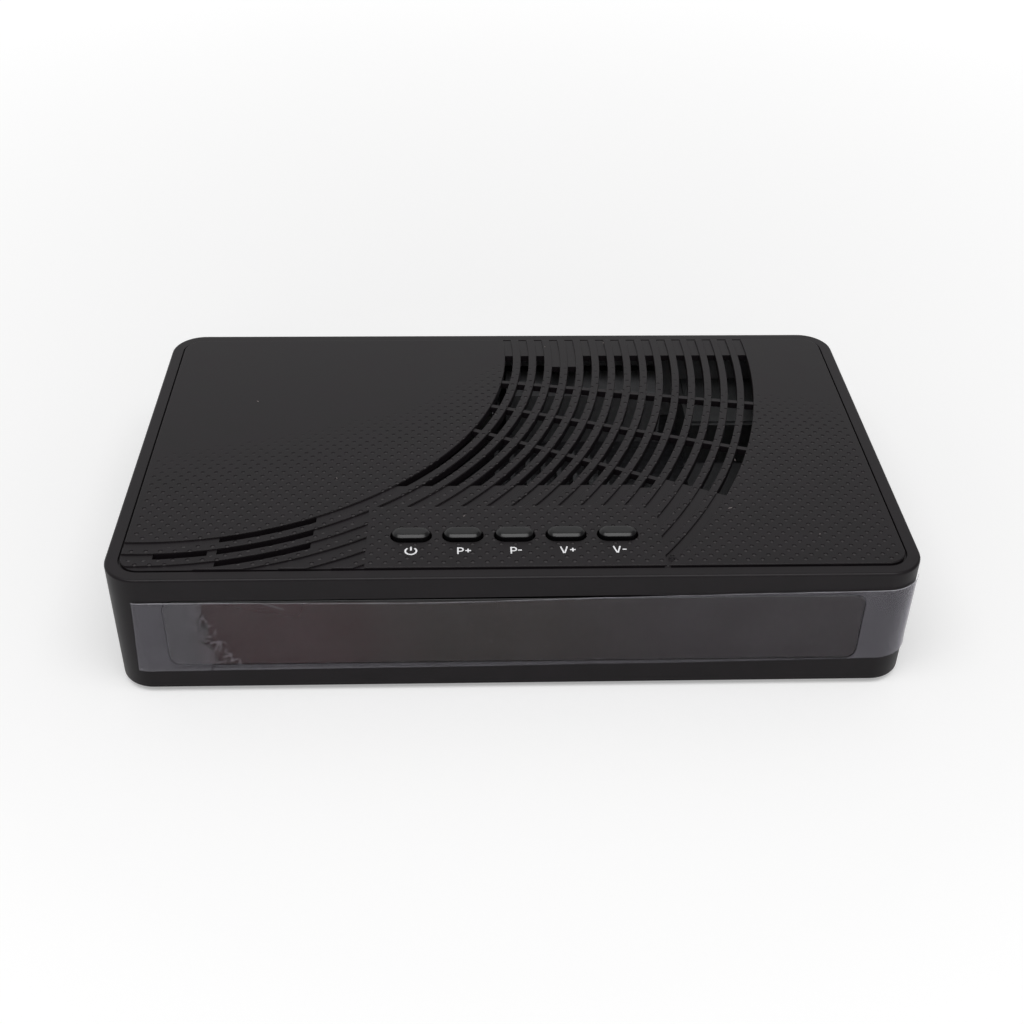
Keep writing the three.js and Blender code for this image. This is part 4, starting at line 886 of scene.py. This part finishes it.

# %% Film material: the map of how much is seen, and its colour, with reflections painted as a pale veil
cloud = add(tree, "TexNoise", {"Vector": where, "Scale": 1 / (14 * MM), "Detail": 3.0})
haze_and_painted_reflection = add(tree, "MapRange", [cloud, 0.3, 0.7, 0.112, 0.142])
clear = add(tree, "MapRange", [cloud, 0.3, 0.7, 0.001, 0.012])
seen = add(tree, "Mix", {0: loose, 2: clear, 3: haze_and_painted_reflection})
facing = add(tree, "LayerWeight", {"Blend": 0.5}).outputs["Facing"]
grazing = add(tree, "Math", [facing, 4.0], operation="POWER")
seen = chain(tree, "ADD", grazing, seen, smear)
seen = add(tree, "Math", [seen, bright], operation="MAXIMUM")
# the pale colour paints the veil of reflections, the white one the painted highlights and the specks of dust
tint = add(tree, "MixRGB", [bright, "#aeabb6", "#e6e6ea"])
dark = add(tree, "Math", [smear, 4.5], operation="MULTIPLY")
tint = add(tree, "MixRGB", [dark, tint, "#232124"])
creases = add(tree, "TexNoise", {"Vector": where, "Scale": 1 / (8 * MM), "Detail": 3.0})
bump = add(tree, "Bump", {"Height": creases, "Strength": 0.3, "Distance": 0.15 * MM})
feed(shader, {"Alpha": seen, "Base Color": tint, "Normal": bump})
dress(film, polyethylene, 30)

# %% [markdown]
# ## Printed signs
# Under each button is a white sign, pad printed on the cover: a power sign, P and V with plus and
# minus. Each stroke is a band of even width along a path of points, so a sign is a few bands a
# fiftieth of a millimetre thick that lie on the panel.

# %% Strokes


def band(path, width=0.38):
    """A closed flat ribbon: the path's points moved half the width to both sides of its direction."""
    path = np.asarray(path, float)
    ahead = np.gradient(path, axis=0)
    ahead /= np.linalg.norm(ahead, axis=1, keepdims=True)
    side = np.column_stack([-ahead[:, 1], ahead[:, 0]]) * width / 2
    return np.concatenate([path + side, (path - side)[::-1]])


p_bow = [(-0.6, 1.1), (-0.1, 1.1), *arc(0.05, 0.42, 0.68, 90, -90, 10), (-0.1, -0.26), (-0.6, -0.26)]
letter_p = [band([(-0.55, -1.32), (-0.55, 1.32)]), band(p_bow)]
letter_v = [band([(-0.82, 1.32), (-0.09, -1.3)]), band([(0.82, 1.32), (0.09, -1.3)])]
plus = [band([(-0.7, 0), (0.7, 0)]), band([(0, -0.7), (0, 0.7)])]
minus = [band([(-0.5, 0), (0.5, 0)])]
power_sign = [band(arc(0, 0, 1.36, 128, 412, 28), 0.44), band([(0, 0.2), (0, 1.7)], 0.44)]
# for each button: two marks, and the place of each along X from the sign's middle
signs = [(power_sign, [], 0, 0), (letter_p, plus, -0.8, 1.15), (letter_p, minus, -0.6, 0.98),
         (letter_v, plus, -1.0, 1.15), (letter_v, minus, -0.78, 1.05)]

# %% Signs on the panel
stacks = []
for place_x, (first, second, first_x, second_x) in zip(button_places, signs):
    for shapes, shift in ((first, first_x), (second, second_x)):
        for number, shape in enumerate(shapes):
            spot = shape + (place_x + 0.1 + shift, sign_y - 0.1)
            stacks.append([level(spot, panel_top + 0.004), level(spot, panel_top + 0.02 + 0.004 * number)])
material, tree, shader, where = finish("white_pad_ink", {"Roughness": 0.55, "Specular IOR Level": 0.3})
feed(shader, {"Base Color": two_tone(tree, where, 0.5, 2.0, "#c9c9cc", "#f4f4f6", 0.3, 0.45)[1]})
dress(build("printed_signs", *together(stacks)), material)

# %% [markdown]
# ## Finishes of the other solids
# The rest keep the shape of their solids and get the finish of the real thing. A few of these are
# two things in one: a metal shell round a plastic core. There the finish changes inside a box given
# in millimetres.

# %% Two finishes in one
core_colour = "#0d0d0e"


def within(tree, where, low, high):
    """1 inside the box between two case corners, else 0: the largest of the distances beyond the
    box's half sizes is below zero."""
    low, high = place([low, high])
    off = add(tree, "VectorMath", [where, (low + high) / 2], operation="SUBTRACT")
    off = add(tree, "VectorMath", [off], operation="ABSOLUTE")
    off = add(tree, "VectorMath", [off, (high - low) / 2], operation="SUBTRACT")
    most = chain(tree, "MAXIMUM", *add(tree, "SeparateXYZ", [off]).outputs)
    return add(tree, "Math", [most, 0.0], operation="LESS_THAN")


def plated_metal(name, colour, stained, roughness, spread, core=None):
    """Plated sheet metal: cloudy colour and sheen, and inside the core's box matt plastic instead."""
    material, tree, shader, where = finish(name, {"Metallic": 1.0})
    cloud, shade = two_tone(tree, where, spread, 5.0, colour, stained)
    sheen = add(tree, "MapRange", [cloud, 0.3, 0.7, roughness - 0.05, roughness + 0.08])
    if core:
        inside = within(tree, where, *core)
        shade = add(tree, "MixRGB", [inside, shade, core_colour])
        sheen = add(tree, "Mix", {0: inside, 2: sheen, 3: 0.5})
        feed(shader, {"Metallic": add(tree, "Math", [1.0, inside], operation="SUBTRACT")})
    feed(shader, {"Base Color": shade, "Roughness": sheen})
    return material


def matt(name, colour, second, roughness, size, bump_depth, gloss=0.4, core=None, core_colour=core_colour):
    """A matt material with a fine pattern of the given size in millimetres, in colour and in bump.
    Inside the core's box it has the core's colour instead."""
    material, tree, shader, where = finish(name, {"Roughness": roughness, "Specular IOR Level": gloss})
    fine, shade = two_tone(tree, where, size, 4.0, colour, second, 0.35, 0.65)
    if core:
        shade = add(tree, "MixRGB", [within(tree, where, *core), shade, core_colour])
    bump = add(tree, "Bump", {"Height": fine, "Strength": 0.6, "Distance": bump_depth * MM})
    feed(shader, {"Base Color": shade, "Normal": bump})
    return material


# %% Rubber and metals
foot_rubber = matt("moulded_rubber", "#111111", "#191919", 0.75, 0.8, 0.05)
zinc_steel = plated_metal("zinc_plated_steel", "#b9bbbd", "#9c9fa2", 0.3, 2.0)
nickel_brass = plated_metal("nickel_plated_brass", "#c6c1b7", "#aca79d", 0.24, 3.0)
gold = plated_metal("gold_plated_springs", "#c9a352", "#b08d40", 0.3, 1.0)
rear_steel = matt("powder_coated_steel", "#747476", "#7b7b7d", 0.5, 0.5, 0.03, 0.35,
                  ((-95, 56.2, 0), (95, 60, 36)), "#151416")
finishes = {
    "case_plastic": base_abs, "button_plastic": button_abs, "socket_plastic": socket_pbt,
    "smoked_window": smoked_acrylic, "clear_film": polyethylene, "foot_rubber": foot_rubber,
    "rear_plastic": rear_steel, "screw_steel": zinc_steel, "nickel": nickel_brass,
    "plated_can": plated_metal("tin_plated_steel", "#6c6d6e", "#5f6061", 0.62, 6.0),
    "bare_aluminium": plated_metal("extruded_aluminium", "#6a6b6d", "#58595b", 0.55, 1.2),
    "chip_plastic": matt("moulded_epoxy", "#191a1b", "#202122", 0.6, 0.35, 0.02),
    "ferrite": matt("sintered_ferrite", "#2c2c2e", "#38383a", 0.7, 0.6, 0.04),
    "capacitor_sleeve": matt("pvc_shrink_sleeve", "#1a1c2a", "#222437", 0.35, 3.0, 0.03),
    "display_plastic": matt("moulded_abs_display", "#2b2624", "#332d2a", 0.5, 1.0, 0.02),
    "cable_white": matt("polyester_flat_cable", "#77767a", "#858388", 0.45, 1.5, 0.02)}
# four sockets and the card reader have a finish of their own
own = {"television_socket": matt("moulded_pbt_television", "#5e5e60", "#666668", 0.5, 2.0, 0.02, 0.4,
                                 ((0, 55.9, 5), (48, 60, 30))),
       "card_reader": matt("moulded_pbt_reader", "#2e2e30", "#353537", 0.5, 2.0, 0.02)}
for kind, roughness, spread, core in (("video", 0.3, 3.0, ((-17.9, 50.5, 9.9), (-4.1, 60, 14.6))),
                                      ("media", 0.3, 3.0, ((-56.1, 48.5, 10.2), (-43.4, 60, 15.2))),
                                      ("network", 0.32, 4.0, ((-36.5, 45, 10.9), (-24.5, 60, 20.5)))):
    own[kind + "_socket"] = plated_metal("tin_plated_shell_" + kind, "#b4b4b2", "#a0a09e",
                                         roughness, spread, core)
print("finishes of a slot:", len(finishes), "of one solid:", len(own))

# %% [markdown]
# ## Dish sockets
# The two dish sockets are screw sockets of nickel-plated brass. The thread has a pitch of 0.794 mm.
# On the real part it is cut; here the radius of a turned profile drops by the thread's depth with a
# wave that moves on by one pitch in each turn, so the grooves join into one helix.

# %% Dish sockets with their threads
dish_places = {"dish_out": 61.0, "dish_in": 77.0}
thread_pitch, thread_depth, socket_radius = 0.794, 0.42, 4.7
socket_z, socket_start, socket_end = 16.7, 55.55, 68.35
barrel_length, nose_length, run_out, chamfer = 2.35, 0.45, 0.8, 0.25
stations = np.arange(socket_start + barrel_length + 0.05, socket_end - nose_length, thread_pitch / 8)
turns = np.arange(48) / 48
wave = np.abs((stations[:, None] / thread_pitch - turns) % 1 * 2 - 1)
fade = np.clip((socket_end - 0.5 - stations) / run_out, 0, 1)[:, None]
cut_radius = socket_radius - thread_depth * wave * fade - chamfer * (1 - fade)
# the plain barrel before the thread, and the nose after it, each of radius and depth
barrel = np.array([(socket_radius, socket_start), (socket_radius, socket_start + barrel_length)])
nose = np.array([(4.1, -0.2), (3.9, 0.0), (2.6, 0.0), (2.4, -0.2), (2.4, -1.6)]) + (0, socket_end)
for name, x in dish_places.items():
    rings = np.concatenate([turned(*barrel.T, x, socket_z), turned(cut_radius, stations, x, socket_z),
                            turned(*nose.T, x, socket_z)])
    socket = build(name + "_thread", *skin(rings))
    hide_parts(name + "_socket")
    dress(socket, nickel_brass, 50)

# %% [markdown]
# ## Nuts, feet and screws
# A hexagon nut with both faces chamfered holds each dish socket to the rear panel. Four rubber feet
# with rounded rims are stuck into recesses of the base, and four screws with a cross recess hold the
# base to the bosses of the cover. Feet and screws take their places from the solids.

# %% Nuts
nut_corner, nut_hole, nut_start, nut_end, nut_sides = 6.35, 5.0, 57.35, 59.55, 72
nut_angle = np.degrees(np.arange(nut_sides) * 2 * np.pi / nut_sides)
hexagon = nut_corner * math.cos(math.pi / 6) / np.cos(np.radians((nut_angle + 30) % 60 - 30))
hole = np.full(nut_sides, nut_hole)
nut_radius = np.stack([hole, np.minimum(hexagon, 5.95), hexagon, hexagon, np.minimum(hexagon, 5.75), hole])
nut_along = [nut_start, nut_start, nut_start + 0.25, nut_end - 0.35, nut_end, nut_end]
for name, x in dish_places.items():
    nut = build(name + "_hexagon", *ring_skin(turned(nut_radius, nut_along, x, socket_z, nut_sides)))
    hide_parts(name + "_nut")
    dress(nut, zinc_steel, 25)

# %% Feet and case screws
foot_profile = [(4.1, 0.3), (4.4, 0.0), (5.2, 0.0), (5.7, 0.14), (5.93, 0.45), (6.0, 1.1), (6.0, 2.25)]
screw_profile = [(2.0, 0.0), (2.55, 0.14), (2.8, 0.5), (2.8, 1.7), (1.3, 1.7), (1.3, 10.4), (0.3, 11.9)]


def spot_of(name):
    """The middle in plan and the lowest height of a solid, in case millimetres."""
    low, high = np.array(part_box(name)) / MM - (0, CASE_SHIFT, 0)
    return *((low + high) / 2)[:2], low[2]


for number in range(1, 5):
    x, y, _ = spot_of(f"foot_{number}")
    foot = build(f"rubber_foot_{number}", *skin(spun(foot_profile, x, y)))
    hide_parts(f"foot_{number}")
    dress(foot, foot_rubber, 50)
    x, y, bottom = spot_of(f"case_screw_{number}")
    screw = build(f"cross_screw_{number}", *skin(spun(screw_profile, x, y) + (0, 0, bottom)))
    for width, depth in ((3.2, 0.8), (0.8, 3.2)):
        arm = rounded(width, depth, 0.15, 3) + (x, y)
        cut(screw, build("cross_tool", *skin([level(arm, bottom - 0.3), level(arm, bottom + 1.1)])))
    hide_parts(f"case_screw_{number}")
    dress(screw, zinc_steel, 35)

# %% [markdown]
# ## Contacts in the sockets
# What makes a socket look real from behind is its contacts: eight gold springs that slope down from
# the roof of the network socket, two rows of gilt blades in the television socket, the pin of the
# power socket, and in each dish socket a pale insulator with a small sprung contact in its middle.

# %% Springs, blades and the power pin
network_x, media_x, television_x, power_x, power_z = -30.5, -49.75, 24.0, -79.5, 14.6
spring_pitch, blade_pitch = 1.02, 3.8


def bar_along(points, width, height):
    """A thin bar carried along Y through the points (x, y, z), with a rounded section."""
    return [upright(rounded(width, height, height / 4, 2) + (x, z), y) for x, y, z in points]


springs = [bar_along([(x, 56.8, 20.05), (x, 55.8, 19.9), (x, 47.0, 17.3)], 0.42, 0.3)
           for x in network_x + spring_pitch * (np.arange(8) - 3.5)]
springs += [bar_along([(media_x + x, 56.0, 12.5), (media_x + x, 48.0, 12.5)], 1.0, 0.16)
            for x in (-3.5, -1.0, 1.0, 3.5)]
dress(build("socket_springs", *together(springs)), gold)
blades = [bar_along([(x, 56.3, z), (x, 56.47, z)], 0.9, 2.5)
          for x in television_x + blade_pitch * (np.arange(10) - 4.5) for z in (19.4, 15.7)]
dress(build("television_blades", *together(blades)), gold)
pin_profile = np.array([(1.09, 49.0), (1.09, 56.3), (0.95, 56.7), (0.55, 56.95)])
dress(build("power_pin", *skin(turned(*pin_profile.T, power_x, power_z))), nickel_brass)

# %% Insulators and contacts of the dish sockets
ptfe = matt("ptfe_insulator", "#d3d1c9", "#c9c7be", 0.5, 1.0, 0.01)
# profiles of radius and depth from the socket's end
inserts = [("dish_insulators", ptfe, [(2.38, -1.58), (2.38, -0.7), (0.78, -0.7), (0.66, -1.3)]),
           ("dish_contacts", gold, [(0.5, -1.5), (0.5, -0.95), (0.26, -0.95), (0.22, -1.3)])]
for name, material, profile in inserts:
    stacks = [turned(*np.array(profile).T, x, socket_z) + (0, socket_end, 0) for x in dish_places.values()]
    dress(build(name, *together(stacks)), material, 40)

# %% [markdown]
# ## Boards, and the solids as they are
# The boards are glass epoxy under a black solder mask: through the slots of the photograph the inside
# is a neutral dark grey. Copper tracks raise the mask a little and show as lighter lines, and bare
# pads are tinned. A brick pattern and a cell pattern stand for them, at about their real scale.

# %% Circuit boards
board_mask, tree, shader, where = finish("solder_mask_board", {"Roughness": 0.35, "Specular IOR Level": 0.5})
tracks = add(tree, "TexBrick", {"Vector": where, "Scale": 1 / (9 * MM), "Mortar Size": 0.05,
                                "Color1": "#1c1c1e", "Color2": "#202022", "Mortar": "#2b2b2e"})
pads = add(tree, "TexVoronoi", {"Vector": where, "Scale": 1 / (3.0 * MM)})
pad = add(tree, "Math", [pads, 0.12], operation="LESS_THAN")
feed(shader, {"Base Color": add(tree, "MixRGB", [pad, tracks, "#6f6f6e"]), "Metallic": pad})
finishes["board_green"] = board_mask

# %% Each solid gets its finish
for entry in frame["record"]["subparts"]:
    solid = nodes[entry["node"]].data
    solid.materials.clear()
    solid.materials.append(own.get(entry["node"], finishes[entry["material_slot"]]))
    solid.shade_smooth()
    solid.set_sharp_from_angle(angle=math.radians(30))

# %% A seal behind the rear panel keeps light out round the television socket
seal_z, seal_width, seal_height = 17.4, 46.8, 16.4
seal = [upright(rounded(seal_width + 2 * grow, seal_height + 2 * grow, 0.5, 4) + (television_x, seal_z), y)
        for y, grow in ((55.1, 0.0), (55.8, 0.0), (55.8, 1.6), (55.1, 1.6))]
dress(build("socket_seal", *ring_skin(seal)), foot_rubber, 40)
